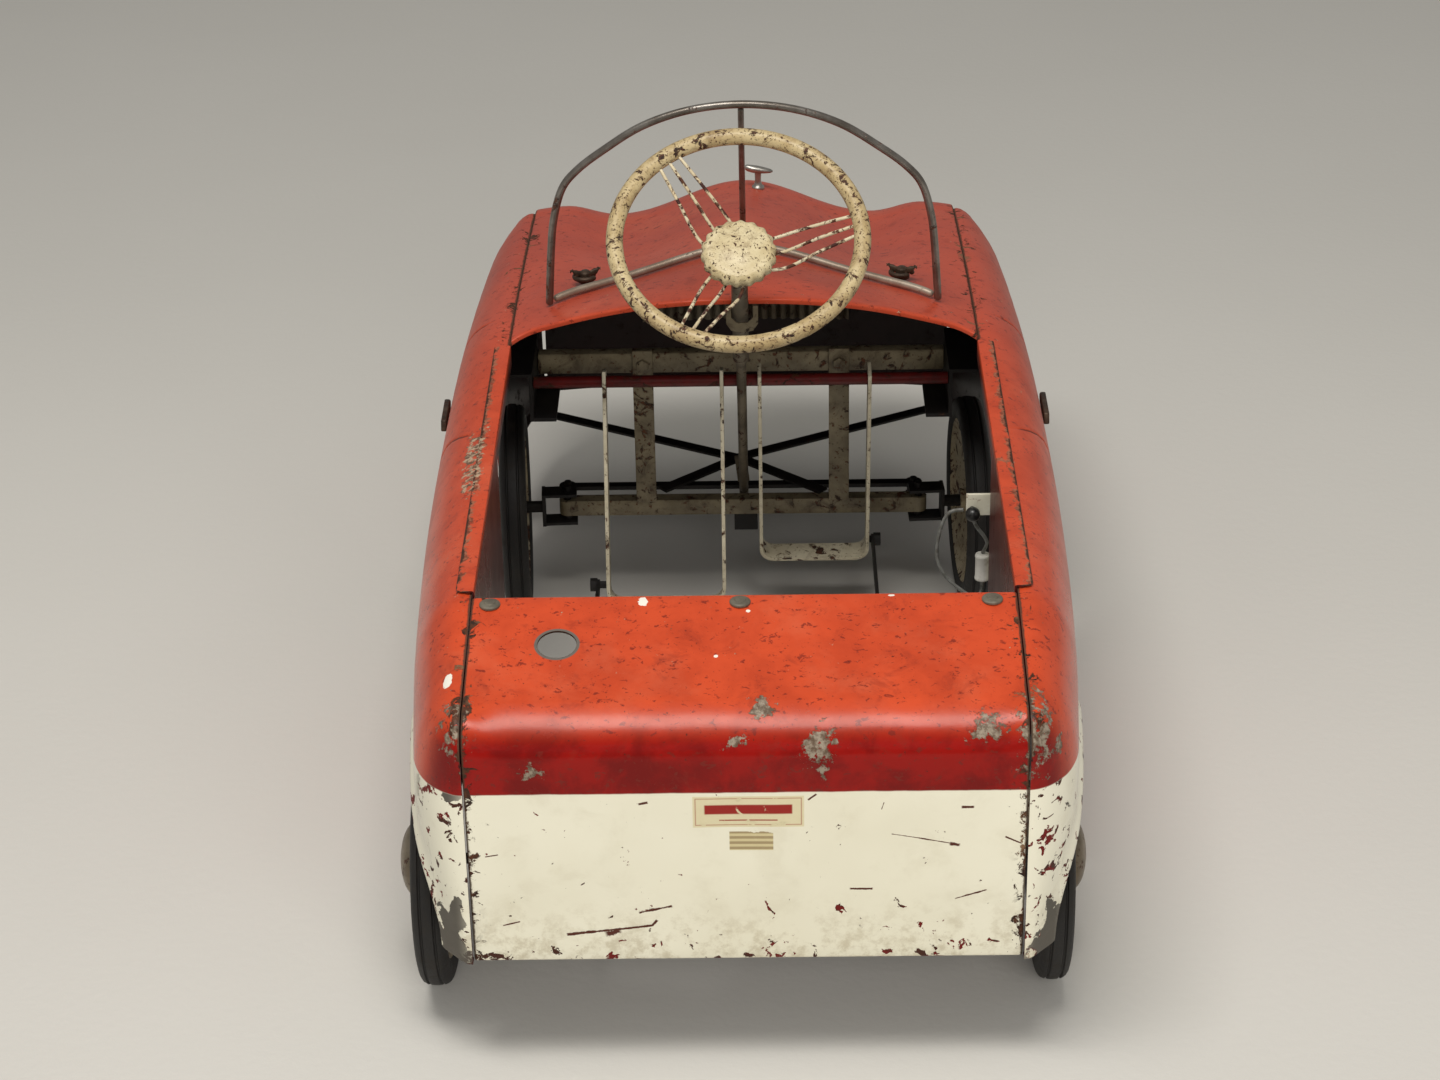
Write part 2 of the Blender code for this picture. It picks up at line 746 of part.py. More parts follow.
def make_windscreen():
    shift = Vector((BODY_X, 0.0, 0.0))
    hoop = tube_mesh([point + shift for point in screen_hoop_path()], SCREEN_ROD)
    place(hoop, "windscreen_hoop", bright_steel())
    reach = SCREEN_BASE_X - SCREEN_ROD - 2.0 * GAP
    base = []
    for step in range(13):
        x = mix(-reach, reach, step / 12)
        y = screen_base_y(x)
        base.append((BODY_X + x, y, bonnet_z(x, y) + SCREEN_ROD + 0.0012))
    place(tube_mesh(base, SCREEN_ROD - 0.0004), "windscreen_base_rod", bright_steel())
    foot = Vector((BODY_X, SCREEN_CENTRE_Y, bonnet_z(0.0, SCREEN_CENTRE_Y) + 2.0 * SCREEN_ROD + 0.0022))
    head = Vector((BODY_X, SCREEN_TOP_Y, SCREEN_TOP_Z))
    along = (head - foot).normalized()
    post = tube_mesh([foot, head - along * (SCREEN_ROD + 0.0009)], SCREEN_ROD - 0.0006)
    place(post, "windscreen_post", bright_steel())


def make_screen_clamp(name, sign):
    """A foot with a wing nut that holds the windscreen's base rod to the bonnet."""
    x = 0.129
    y = screen_base_y(x) + 0.032
    z = bonnet_z(x, y)
    origin = (BODY_X + sign * x, y, z + 0.0028)
    clamp = place(cylinder_mesh(0.0055, 0.0, 0.006), name, dark_steel(), origin)
    outline = [(-0.011, 0.011), (-0.012, 0.006), (-0.004, 0.002), (0.004, 0.002)]
    outline += [(0.012, 0.006), (0.011, 0.011), (0.003, 0.008), (-0.003, 0.008)]
    wings = extruded_mesh(outline, -0.001, 0.001, "Y")
    combine(clamp, [wings], "UNION")
    return clamp


def make_bonnet_handle():
    y = 0.396
    origin = (0.0137, y, bonnet_z(0.0137 - BODY_X, y) + 0.0006)
    handle = place(cylinder_mesh(0.0032, 0.0, 0.0150), "bonnet_handle", bright_steel(), origin)
    path = [(-0.0095, 0.0, 0.0155), (-0.004, 0.0, 0.0165), (0.004, 0.0, 0.0165), (0.0095, 0.0, 0.0155)]
    bar = tube_mesh(path, 0.0036)
    collar = cylinder_mesh(0.0055, 0.0, 0.0022)
    combine(handle, [bar, collar], "UNION")
    return handle


# Frame


def make_crossmember():
    low = (CHASSIS_X - 0.1695, FRONT_AXLE_Y - 0.006, 0.2165)
    high = (CHASSIS_X + 0.1695, FRONT_AXLE_Y + 0.006, 0.2345)
    return place(box_mesh(low, high), "front_crossmember", cream_paint())


def make_hanger(name, sign):
    """A folded bracket between the side panel and the pedal rod, with a flange turned in below."""
    web, wall = CHASSIS_X + sign * 0.170, sign * 0.003
    flange = CHASSIS_X + sign * 0.1515
    low, high = 0.204, 0.247
    rear, front = 0.130, 0.212
    tip = BODY_X + sign * (side_x(front, high) - 0.004)
    outline = [(flange, low), (web + wall, low), (web + wall, high - abs(wall)), (tip, high - abs(wall))]
    outline += [(tip, high), (web, high), (web, low + abs(wall)), (flange, low + abs(wall))]
    return place(extruded_mesh(outline, rear, front, "Y"), name, dark_steel())


def make_axle_post(name, sign):
    x = CHASSIS_X + sign * 0.082
    wall = 0.003
    rear = FRONT_AXLE_Y - 0.0063 - wall
    foot = AXLE_Z + 0.0073
    outline = [(rear, foot), (FRONT_AXLE_Y + 0.006, foot), (FRONT_AXLE_Y + 0.006, foot + wall)]
    outline += [(rear + wall, foot + wall), (rear + wall, 0.238), (rear, 0.238)]
    post = place(extruded_mesh(outline, x - 0.0085, x + 0.0085, "X"), name, cream_paint())
    bolts = []
    for centre, low, high, axis in (
        ((x, 0.0, 0.2255), rear - 0.0035, rear + 0.001, "Y"),
        ((x, FRONT_AXLE_Y, 0.0), foot + 0.001, foot + wall + 0.0035, "Z"),
    ):
        bolt = cylinder_mesh(0.0055, low, high, axis, 6)
        bolt.transform(Matrix.Translation(centre))
        bolts.append(bolt)
    combine(post, bolts, "UNION")
    return post


def make_front_beam():
    low = (CHASSIS_X - KINGPIN_X, FRONT_AXLE_Y - 0.006, AXLE_Z - 0.007)
    high = (CHASSIS_X + KINGPIN_X, FRONT_AXLE_Y + 0.006, AXLE_Z + 0.007)
    beam = place(box_mesh(low, high), "front_axle_beam", cream_paint())
    eyes, holes = [], []
    for sign in (-1, 1):
        shift = Matrix.Translation((CHASSIS_X + sign * KINGPIN_X, FRONT_AXLE_Y, AXLE_Z))
        for radius, height, group in ((0.0072, 0.0066, eyes), (0.0034, 0.020, holes)):
            mesh = cylinder_mesh(radius, -height, height)
            mesh.transform(shift)
            group.append(mesh)
    combine(beam, eyes, "UNION")
    combine(beam, holes, "DIFFERENCE")
    return beam


def make_brace(name, sign, lift):
    """A flat strip from one front wing's foot, across the middle, to the far end of the beam."""
    half, wall = 0.0055, 0.0024
    line = [Vector((-0.180, 0.385, 0.0860)), Vector((0.0, 0.268, 0.0963)), Vector((0.0690, 0.2060, 0.0963))]
    line = [Vector((CHASSIS_X + sign * p.x, p.y, p.z + lift)) for p in line]
    grid = []
    for index, point in enumerate(line):
        along = line[min(index + 1, 2)] - line[max(index - 1, 0)]
        across = Vector((-along.y, along.x, 0.0)).normalized() * half
        grid.append([tuple(point - across), tuple(point + across)])
    return place(sheet_mesh(grid, (0.0, 0.27, 1.0), wall), name, dark_steel())


def make_pedal_rod():
    reach = 0.1695
    mesh = cylinder_mesh(PEDAL_ROD_RADIUS, -reach, reach, "X")
    return place(mesh, "pedal_rod", red_paint(), (CHASSIS_X, PEDAL_PIVOT_Y, PEDAL_PIVOT_Z))


def column_point(distance):
    """A point on the steering column's axis, this far down from the wheel's centre."""
    return STEERING_CENTRE + Vector((0.0, math.cos(COLUMN_ANGLE), -math.sin(COLUMN_ANGLE))) * distance


def make_dash_bracket():
    """A U-shaped plate hung from the cowl's edge, round the column."""
    half, slot, low, high = 0.0125, 0.0085, 0.317, 0.3395
    outline = [(half, high), (half, low + 0.008), (half - 0.004, low + 0.002), (0.0, low)]
    outline += [(-half + 0.004, low + 0.002), (-half, low + 0.008), (-half, high), (-slot, high)]
    y = COWL_CENTRE_Y - 0.003
    axis_z = column_point((y - STEERING_CENTRE.y) / math.cos(COLUMN_ANGLE)).z
    outline += [(-slot, axis_z - 0.009), (-0.004, axis_z - 0.0135), (0.004, axis_z - 0.0135)]
    outline += [(slot, axis_z - 0.009), (slot, high)]
    return place(extruded_mesh(outline, y - 0.002, y, "Y"), "dash_bracket", cream_paint())


def make_column_foot():
    """A bearing plate ahead of the axle beam that carries the column's lower end."""
    end = column_point(FOOT_DISTANCE)
    low = (-0.010, FRONT_AXLE_Y + 0.0064, 0.060)
    foot = place(box_mesh(low, (0.010, end.y + 0.012, 0.064)), "column_foot", dark_steel())
    web = box_mesh(low, (0.010, FRONT_AXLE_Y + 0.0094, 0.094))
    combine(foot, [web], "UNION")
    return foot


def make_rear_bearing(name, sign):
    """A strip from the deck's underside down to a bearing hole for the crank axle."""
    x = CHASSIS_X + sign * 0.150
    low, high = sorted((x, x + sign * 0.003))
    top = 0.262
    outline = [(REAR_AXLE_Y - 0.011, 0.084), (REAR_AXLE_Y - 0.007, 0.078), (REAR_AXLE_Y + 0.007, 0.078)]
    outline += [(REAR_AXLE_Y + 0.011, 0.084), (REAR_AXLE_Y + 0.011, top), (REAR_AXLE_Y - 0.011, top)]
    bearing = place(extruded_mesh(outline, low, high, "X"), name, dark_steel())
    hole = cylinder_mesh(AXLE_RADIUS + 0.0004, low - 0.01, high + 0.01, "X", 16)
    hole.transform(Matrix.Translation((0.0, REAR_AXLE_Y, AXLE_Z)))
    combine(bearing, [hole], "DIFFERENCE")
    return bearing


# Steering


def make_steering():
    parent = pivot("steering_pivot", STEERING_CENTRE)
    parent.rotation_mode = "ZYX"
    parent.rotation_euler = (math.pi / 2.0 - COLUMN_ANGLE, 0.0, STEER_REST / STEER_RATIO)
    ring = []
    for step in range(9):
        angle = 2.0 * math.pi * step / 8
        ring.append((RIM_RADIUS + RIM_TUBE * math.cos(angle), RIM_TUBE * math.sin(angle)))
    place(turned_mesh(ring[:-1], 28), "steering_rim", cream_paint(), parent=parent)
    plate = cylinder_mesh(0.014, -DISH - 0.012, -DISH - 0.007, count=18)
    hub = place(plate, "steering_spokes", bright_steel(), parent=parent)
    wires = []
    for group in range(3):
        for offset in (-0.0090, 0.0, 0.0090):
            wires.append(spoke_mesh(math.radians(120.0 * group), offset))
    combine(hub, wires, "UNION")
    boss_shape = boss_mesh()
    boss_shape.transform(Matrix.Translation((0.0, 0.0, -DISH)))
    boss = place(boss_shape, "steering_boss", cream_paint(), parent=parent)
    top = -DISH - 0.0125
    column = [(0.0, top), (0.0095, top), (0.0095, top - 0.017)]
    column += [(COLUMN_RADIUS, top - 0.019), (COLUMN_RADIUS, -0.172)]
    column += [(0.0045, -0.178), (ROD_RADIUS, -0.178), (ROD_RADIUS, -FOOT_DISTANCE), (0.0, -FOOT_DISTANCE)]
    shaft = place(turned_mesh(column, 16), "steering_column", bright_steel(), parent=parent)
    level = DROP_ARM_LEVEL
    arm = box_mesh((-0.005, 0.0, level - 0.0015), (0.005, DROP_ARM + 0.005, level + 0.0015))
    pin = cylinder_mesh(0.003, -DROP_PIN, 0.0)
    pin.transform(Matrix.Translation((0.0, DROP_ARM, level)))
    combine(shaft, [arm, pin], "UNION")
    return boss


def spoke_mesh(direction, offset):
    """A wire from the sunk hub plate up to the rim's middle. The three of a group lie closer at the rim."""
    out = Vector((math.cos(direction), math.sin(direction), 0.0))
    side = Vector((-out.y, out.x, 0.0))
    reach = math.sqrt((RIM_RADIUS - RIM_TUBE - 0.0014) ** 2 - offset**2)
    start = out * 0.003 + side * offset * 0.9 + Vector((0.0, 0.0, -DISH - 0.0095))
    middle = out * 0.032 + side * offset * 1.6 + Vector((0.0, 0.0, -DISH - 0.0080))
    end = out * reach + side * offset
    return tube_mesh([start, middle, end], SPOKE_RADIUS, 6)


def boss_mesh():
    """A scalloped disc with a raised middle."""
    scallops = 18
    count = scallops * 2
    levels = [(1.0, -0.0062, 0.055), (1.0, 0.0, 0.055), (0.86, 0.004, 0.02), (0.45, 0.007, 0.0)]
    points, faces = [(0.0, 0.0, -0.0062)], []
    for share, height, depth in levels:
        for step in range(count):
            angle = 2.0 * math.pi * step / count
            radius = BOSS_RADIUS * share * (1.0 - depth * (0.5 - 0.5 * math.cos(scallops * angle)))
            points.append((radius * math.cos(angle), radius * math.sin(angle), height))
    points.append((0.0, 0.0, 0.0078))
    for step in range(count):
        after = (step + 1) % count
        faces.append((0, 1 + after, 1 + step))
        for level in range(len(levels) - 1):
            low, high = 1 + level * count, 1 + (level + 1) * count
            faces.append((low + step, low + after, high + after, high + step))
        top = 1 + (len(levels) - 1) * count
        faces.append((top + step, top + after, len(points) - 1))
    return mesh_of(points, faces)


def make_stub_axle(side, sign):
    """Yoke, kingpin, wheel spindle and steering arm in one welded piece."""
    parent = pivot(f"kingpin_{side}", (CHASSIS_X + sign * KINGPIN_X, FRONT_AXLE_Y, AXLE_Z))
    parent.rotation_euler = (0.0, 0.0, STEER_REST)
    top = YOKE_HALF
    inner, outer, wall = -0.008, 0.022, 0.003

    def plate(x_low, x_high, y_low, y_high, z_low, z_high):
        ends = sorted((sign * x_low, sign * x_high))
        return box_mesh((ends[0], y_low, z_low), (ends[1], y_high, z_high))

    back = plate(outer - wall, outer, -0.009, 0.009, -top, top)
    stub = place(back, f"stub_axle_{side}", dark_steel(), parent=parent)
    spindle = cylinder_mesh(0.005, *sorted((sign * 0.0200, sign * 0.0525)), "X", 16)
    pieces = [
        plate(inner, outer - 0.001, -0.0085, 0.0085, top - wall, top - 0.0004),
        plate(inner, outer - 0.001, -0.0085, 0.0085, -top + 0.0004, wall - top),
        cylinder_mesh(0.0030, 0.001 - top, top + 0.004),
        spindle,
        plate(-0.006, 0.006, 0.004, STEERING_ARM + 0.006, 0.0008 - top, wall - top - 0.0004),
    ]
    pin, shoulder = (0.0030, 0.002 - top, 0.0030), (0.0055, wall - 0.001 - top, -TIE_ROD_DROP - 0.0023)
    for radius, low, high in (pin, shoulder):
        collar = cylinder_mesh(radius, low, high)
        collar.transform(Matrix.Translation((0.0, STEERING_ARM, 0.0)))
        pieces.append(collar)
    combine(stub, pieces, "UNION")
    return stub


def make_tie_rod():
    half = KINGPIN_X
    swing = Vector((-math.sin(STEER_REST), math.cos(STEER_REST), 0.0)) * STEERING_ARM
    origin = Vector((CHASSIS_X, FRONT_AXLE_Y, AXLE_Z - TIE_ROD_DROP)) + swing
    rod = place(box_mesh((-half, -0.0042, -0.0018), (half, 0.0042, 0.0018)), "tie_rod", dark_steel(), origin)
    eyes, holes = [], []
    for sign in (-1, 1):
        for radius, reach, group in ((0.0075, 0.0020, eyes), (0.0034, 0.02, holes)):
            mesh = cylinder_mesh(radius, -reach, reach)
            mesh.transform(Matrix.Translation((sign * half, 0.0, 0.0)))
            group.append(mesh)
    combine(rod, eyes, "UNION")
    combine(rod, holes, "DIFFERENCE")
    return rod


# Wheels


def tyre_mesh(sign):
    half = TYRE_HALF_WIDTH
    bead = DISC_RADIUS + GAP
    profile = [(bead, -half * 0.80), (0.080, -half), (0.0870, -half * 0.70), (WHEEL_RADIUS, 0.0)]
    profile += [(radius, -height) for radius, height in reversed(profile[:-1])]
    return turned_mesh([(radius, sign * height) for radius, height in profile], ROUND, "X")


def disc_mesh(sign, bore):
    """A pressed disc: flanged rim, dished web and a hub tube, with its outer face towards the sign."""
    rim, web = DISC_RADIUS, 0.0012
    outside = [(bore, 0.0085), (0.010, 0.0085), (0.013, 0.0040), (0.030, 0.0040), (0.058, -0.0015)]
    outside += [(0.0665, 0.0075), (rim, 0.0090)]
    inside = [(rim, -0.0090), (0.0660, -0.0060), (0.058, -0.0015 - 2.0 * web)]
    inside += [(0.030, 0.0040 - 2.0 * web), (0.010, 0.0020 - web), (0.010, -0.0085), (bore, -0.0085)]
    return turned_mesh([(radius, sign * height) for radius, height in outside + inside], ROUND, "X")


def cap_mesh(sign):
    """A domed hub cap: a thin shell pressed over the disc's middle."""
    radius = CAP_RADIUS
    outer = [(radius, 0.0092), (radius, 0.0150), (radius * 0.75, 0.0222), (0.0, 0.0260)]
    inner = [(0.0, 0.0248), (radius * 0.73, 0.0210), (radius - 0.0012, 0.0143), (radius - 0.0012, 0.0092)]
    return turned_shell(outer, inner, sign)


def turned_shell(outer, inner, sign):
    """A cup turned about X: both profiles reach the axis, and their rims meet."""
    profile = list(reversed(outer)) + list(reversed(inner))
    return turned_mesh([(radius, sign * height) for radius, height in profile], 20, "X")


def make_wheel(end, side, sign, centre, bore, parent=None):
    name = f"{end}_{side}"
    place(tyre_mesh(sign), "tyre_" + name, black_rubber(), centre, parent=parent)
    place(disc_mesh(sign, bore), "wheel_disc_" + name, cream_paint(), centre, parent=parent)
    place(cap_mesh(sign), "hub_cap_" + name, bright_steel(), centre, parent=parent)


# Drive


def make_crank_axle():
    """One bent rod from wheel to wheel, with its two throws pointing opposite ways."""
    parent = pivot("rear_axle_pivot", (CHASSIS_X, REAR_AXLE_Y, AXLE_Z))
    end = REAR_HALF_TRACK + 0.0075
    path = [(-end, 0.0)]
    for side, sign in (("left", -1.0), ("right", 1.0)):
        pin = sign * (conrod_inside(side) + CONROD_WALL / 2.0)
        first, last = pin - CRANK_PIN_HALF, pin + CRANK_PIN_HALF
        throw = sign * CRANK_RADIUS
        path += [(first, 0.0), (first, throw), (last, throw), (last, 0.0)]
    path.append((end, 0.0))
    mesh = tube_mesh([(x, y, 0.0) for x, y in path], AXLE_RADIUS, 10)
    place(mesh, "crank_axle", dark_steel(), parent=parent)
    return parent


def conrod_inside(side):
    """Distance of a conrod's inner face from the chassis's middle plane."""
    return PEDAL_OUTER_X[side] + CONROD_GAP[side]


def pedal_bolt_point(swing):
    """Where a pedal's bolt is, as (y, z), with the pedal swung this far forward."""
    y = PEDAL_PIVOT_Y + PEDAL_BOLT * math.sin(swing)
    return y, PEDAL_PIVOT_Z - PEDAL_BOLT * math.cos(swing)


def make_conrod(side, sign, swing, throw):
    """A flat rod from a crank pin to its pedal, with the pedal's bolt head on its outer face."""
    crank = Vector((REAR_AXLE_Y + throw * CRANK_RADIUS, AXLE_Z))
    bolt = Vector(pedal_bolt_point(swing))
    parent = pivot(f"crank_pin_{side}", (CHASSIS_X, crank.x, crank.y))
    reach = bolt - crank
    along, across = reach.normalized(), Vector((-reach.y, reach.x)).normalized() * 0.005
    inside = sign * conrod_inside(side)
    outside = inside + sign * CONROD_WALL
    low, high = sorted((inside, outside))
    outline = [-across, reach - across, reach + along * 0.007, reach + across, across, -along * 0.004]
    strip = extruded_mesh([tuple(p) for p in outline], low, high, "X")
    rod = place(strip, f"conrod_{side}", dark_steel(), parent=parent)
    head_ends = sorted((outside - sign * 0.0005, outside + sign * 0.0055))
    shank_ends = sorted((sign * (PEDAL_OUTER_X[side] + 0.0004), outside + sign * 0.002))
    head = cylinder_mesh(0.0056, *head_ends, "X", 6)
    shank = cylinder_mesh(0.0032, *shank_ends, "X", 8)
    for piece in (head, shank):
        piece.transform(Matrix.Translation((0.0, reach.x, reach.y)))
    eye = cylinder_mesh(0.0085, low - 0.0004, high + 0.0004, "X", 18)
    bore = cylinder_mesh(AXLE_RADIUS + 0.0005, low - 0.01, high + 0.01, "X", 18)
    combine(rod, [eye, head, shank], "UNION")
    combine(rod, [bore], "DIFFERENCE")
    return rod


def make_pedal(side, sign, swing):
    """A flat strip bent into a stirrup that hangs on the cross rod."""
    parent = pivot(f"pedal_pivot_{side}", (CHASSIS_X, PEDAL_PIVOT_Y, PEDAL_PIVOT_Z))
    parent.rotation_euler = (swing, 0.0, 0.0)
    bottom, corner = -PEDAL_LENGTH, 0.012

    def u_line(inset):
        left, right, low = PEDAL_INNER_X + inset, PEDAL_OUTER_X[side] - inset, bottom + inset
        radius = corner - inset
        line = [(left, 0.0095)]
        for centre_x, first in ((left + radius, 180.0), (right - radius, 270.0)):
            for step in range(5):
                angle = math.radians(first + 22.5 * step)
                line.append((centre_x + radius * math.cos(angle), low + radius + radius * math.sin(angle)))
        line.append((right, 0.0095))
        return line

    outline = u_line(0.0) + u_line(PEDAL_STRIP)[::-1]
    outline = [(sign * x, z) for x, z in outline]
    half = PEDAL_WIDTH / 2.0
    pedal = place(extruded_mesh(outline, -half, half, "Y"), f"pedal_{side}", cream_paint(), parent=parent)
    combine(pedal, [cylinder_mesh(PEDAL_ROD_RADIUS + 0.0004, -0.2, 0.2, "X", 16)], "DIFFERENCE")
    return pedal


# Lighting


def make_lighting():
    rear = BATTERY_Y - 0.0080
    strip = box_mesh((HOLDER_X, rear, 0.150), (HOLDER_X + 0.003, BATTERY_Y + 0.012, 0.236))
    holder = place(strip, "battery_holder", cream_paint())
    reach = HOLDER_X + 0.001
    clip = box_mesh((HOLDER_X - 0.0007, BATTERY_Y - 0.005, 0.160), (reach, BATTERY_Y + 0.005, 0.174))
    plate = box_mesh((HOLDER_X - 0.0210, rear, 0.2165), (reach, rear + 0.0025, 0.2345))
    stay_z = 0.200
    stay_tip = BODY_X + side_x(BATTERY_Y, stay_z) - SHEET - 0.0012
    stay_rear = (HOLDER_X + 0.002, BATTERY_Y - 0.005, stay_z)
    stay = box_mesh(stay_rear, (stay_tip, BATTERY_Y + 0.010, stay_z + 0.003))
    combine(holder, [clip, plate, stay], "UNION")
    body = cylinder_mesh(BATTERY_RADIUS - 0.0002, 0.156, 0.179, count=16)
    place(body, "battery", white_plastic(), (BATTERY_X, BATTERY_Y, 0.0))
    knob = [(0.0, 0.0), (0.0022, 0.0), (0.0022, 0.004), (0.0055, 0.007), (0.0055, 0.011), (0.0, 0.015)]
    mesh = turned_mesh([(radius, -height) for radius, height in knob], SMALL_ROUND, "Y")
    place(mesh, "switch_knob", black_plastic(), (HOLDER_X - 0.0165, rear - GAP, 0.2225))


def long_wire_path():
    """From the switch plate's edge, out and down in a slack loop, and up to the battery's foot."""
    route = [
        (0.1676, -0.0648, 0.2210),
        (0.1575, -0.0635, 0.2184),
        (0.1516, -0.0625, 0.2072),
        (0.1481, -0.0620, 0.1889),
        (0.1491, -0.0620, 0.1740),
        (0.1555, -0.0620, 0.1607),
        (0.1649, -0.0615, 0.1508),
        (0.1744, -0.0605, 0.1435),
        (0.1812, -0.0590, 0.1425),
        (BATTERY_X, BATTERY_Y, 0.1480),
        (BATTERY_X, BATTERY_Y, 0.1556),
    ]
    return smooth_path(route, 3)


def short_wire_path():
    """From the switch plate's lower edge down to the battery's top."""
    route = [
        (0.1745, -0.0648, 0.2148),
        (0.1775, -0.0655, 0.2070),
        (0.1830, -0.0650, 0.1990),
        (0.1862, -0.0630, 0.1920),
        (0.1858, -0.0598, 0.1860),
        (BATTERY_X, BATTERY_Y, 0.1796),
    ]
    return smooth_path(route, 3)


def make_wire(name, path, radius):
    curve = bpy.data.curves.new(name, "CURVE")
    curve.dimensions = "3D"
    curve.bevel_depth = radius
    curve.bevel_resolution = 2
    curve.use_fill_caps = True
    spline = curve.splines.new("POLY")
    spline.points.add(len(path) - 1)
    for point, corner in zip(spline.points, path):
        point.co = (*corner, 1.0)
    curve.materials.append(wire_cover())
    wire = bpy.data.objects.new(name, curve)
    bpy.context.scene.collection.objects.link(wire)


def centre_on_origin():
    """Moves the whole car so that its outline's middle is over the origin."""
    for item in bpy.data.objects:
        if item.parent is None:
            item.location.y += BOX_SHIFT_Y


def main():
    clear_scene()
    make_bonnet()
    make_nose_panel()
    make_grille()
    make_boot_panel()
    make_windscreen()
    make_bonnet_handle()
    make_crossmember()
    make_front_beam()
    make_brace("brace_left", 1, 0.0)
    make_brace("brace_right", -1, 0.0029)
    make_pedal_rod()
    make_dash_bracket()
    make_column_foot()
    make_steering()
    make_tie_rod()
    make_lighting()
    make_wire("lighting_wire_long", long_wire_path(), WIRE_RADIUS)
    make_wire("lighting_wire_short", short_wire_path(), WIRE_RADIUS)
    rear_axle = make_crank_axle()
    for side, sign in (("left", -1), ("right", 1)):
        make_side_panel(f"side_panel_{side}", sign)
        make_cockpit_rail(f"cockpit_rail_{side}", sign)
        make_door_handle(f"door_handle_{side}", sign)
        make_headlight(side, sign)
        make_screen_clamp(f"windscreen_clamp_{side}", sign)
        make_hanger(f"pedal_hanger_{side}", sign)
        make_axle_post(f"axle_post_{side}", sign)
        make_rear_bearing(f"rear_bearing_{side}", sign)
        stub = make_stub_axle(side, sign)
        front = (sign * (FRONT_HALF_TRACK - KINGPIN_X), 0.0, 0.0)
        make_wheel("front", side, sign, front, 0.0053, stub.parent)
        make_wheel("rear", side, sign, (sign * REAR_HALF_TRACK, 0.0, 0.0), 0.0043, rear_axle)
        swing = PEDAL_BACK if side == "left" else PEDAL_FORWARD
        make_conrod(side, sign, swing, sign)
        make_pedal(side, sign, swing)
    centre_on_origin()


main()
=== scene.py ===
"""The pedal car's looks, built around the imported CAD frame.

Lengths are metres. Shapes are worked out in the car's drawing frame and then moved by DRAWING_SHIFT into the
frame of the CAD, where +Y is forwards, +X the car's right side and +Z up.
"""

import json
import math

import bmesh
import bpy
import numpy as np
from mathutils import Matrix, Vector

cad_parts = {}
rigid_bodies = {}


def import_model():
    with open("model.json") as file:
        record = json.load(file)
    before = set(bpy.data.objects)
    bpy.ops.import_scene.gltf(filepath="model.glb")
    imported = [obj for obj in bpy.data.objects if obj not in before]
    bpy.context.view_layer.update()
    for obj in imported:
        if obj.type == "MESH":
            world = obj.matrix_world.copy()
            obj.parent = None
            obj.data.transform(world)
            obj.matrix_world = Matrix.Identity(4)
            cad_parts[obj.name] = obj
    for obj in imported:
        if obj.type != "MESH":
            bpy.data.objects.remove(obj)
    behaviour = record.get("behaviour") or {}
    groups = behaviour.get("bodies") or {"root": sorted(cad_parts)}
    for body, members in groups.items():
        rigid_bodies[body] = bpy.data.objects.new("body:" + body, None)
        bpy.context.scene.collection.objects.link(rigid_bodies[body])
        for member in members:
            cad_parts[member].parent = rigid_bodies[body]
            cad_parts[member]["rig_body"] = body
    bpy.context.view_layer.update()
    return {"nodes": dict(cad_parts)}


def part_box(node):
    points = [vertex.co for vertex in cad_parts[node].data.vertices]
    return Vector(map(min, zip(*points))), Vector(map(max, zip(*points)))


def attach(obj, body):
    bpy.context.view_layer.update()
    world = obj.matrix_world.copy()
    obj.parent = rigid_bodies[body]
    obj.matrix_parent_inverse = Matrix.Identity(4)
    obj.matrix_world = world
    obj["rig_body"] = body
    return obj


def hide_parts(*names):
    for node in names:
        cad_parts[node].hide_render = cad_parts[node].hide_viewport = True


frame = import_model()

# Camera, light and floor
CAMERA_PLACE = (0.0137, -2.2096, 1.3526)
CAMERA_PITCH = math.radians(28.40)
CAMERA_YAW = math.radians(0.868)
CAMERA_ROLL = math.radians(-1.082)
FOCAL_MM = 79.13
SENSOR_MM = 36.0
FLOOR_REACH = 12.0

# Degrees: the sharpest edge that a sheet shades smoothly, and the steps of a rod's rounded end
SHEET_CREASE = 40.0
ROUND_END_TURNS = (25, 50, 75)

# Chassis
DRAWING_SHIFT = Vector((0.0, -0.0080, 0.0))
BODY_X = 0.0010
CHASSIS_X = -0.0025
REAR_AXLE_Y = -0.335
FRONT_AXLE_Y = 0.2005
WHEEL_RADIUS = 0.089
AXLE_Z = WHEEL_RADIUS
GAP = 0.0003
SHEET = 0.0012
TAU = 2.0 * math.pi

# Body shell
TAIL_Y = -0.459
NOSE_Y = 0.452
NOSE_PANEL_SCALE = 0.994
SEAM_X = 0.186
SEAM_DECK_Z = 0.297
SEAM_CREST_Z = 0.2755
SEAM_CREST_Y = -0.430
SEAM_COWL_Z = 0.299
SEAM_COWL_Y = 0.0925
COWL_CORNER_REACH = 0.022
COWL_CORNER_SWEEP = 0.012
COWL_LIP = 0.0045
SEAM_WING_Z = 0.274
SEAM_WING_Y = 0.400
SEAM_NOSE_DROP = 0.062
SEAM_TAIL_DROP = 0.030
SEAM_ROUND = 0.0016
WIDEST_Y = -0.060
WIDEST_HALF = 0.2370
REAR_NARROWING = 0.116
FRONT_NARROWING = 0.050
SHOULDER_DEPTH = 0.070
TAIL_CORNER = 0.050
NOSE_CORNER = 0.110
SIDE_TUCK = 0.0125
TUCK_FROM_Z = 0.190
TAIL_SILL_Z = 0.085
MID_SILL_Z = 0.072
NOSE_SILL_Z = 0.066
LIP = 0.009
ROLL = 0.0030
REAR_ARCH_RADIUS = 0.103
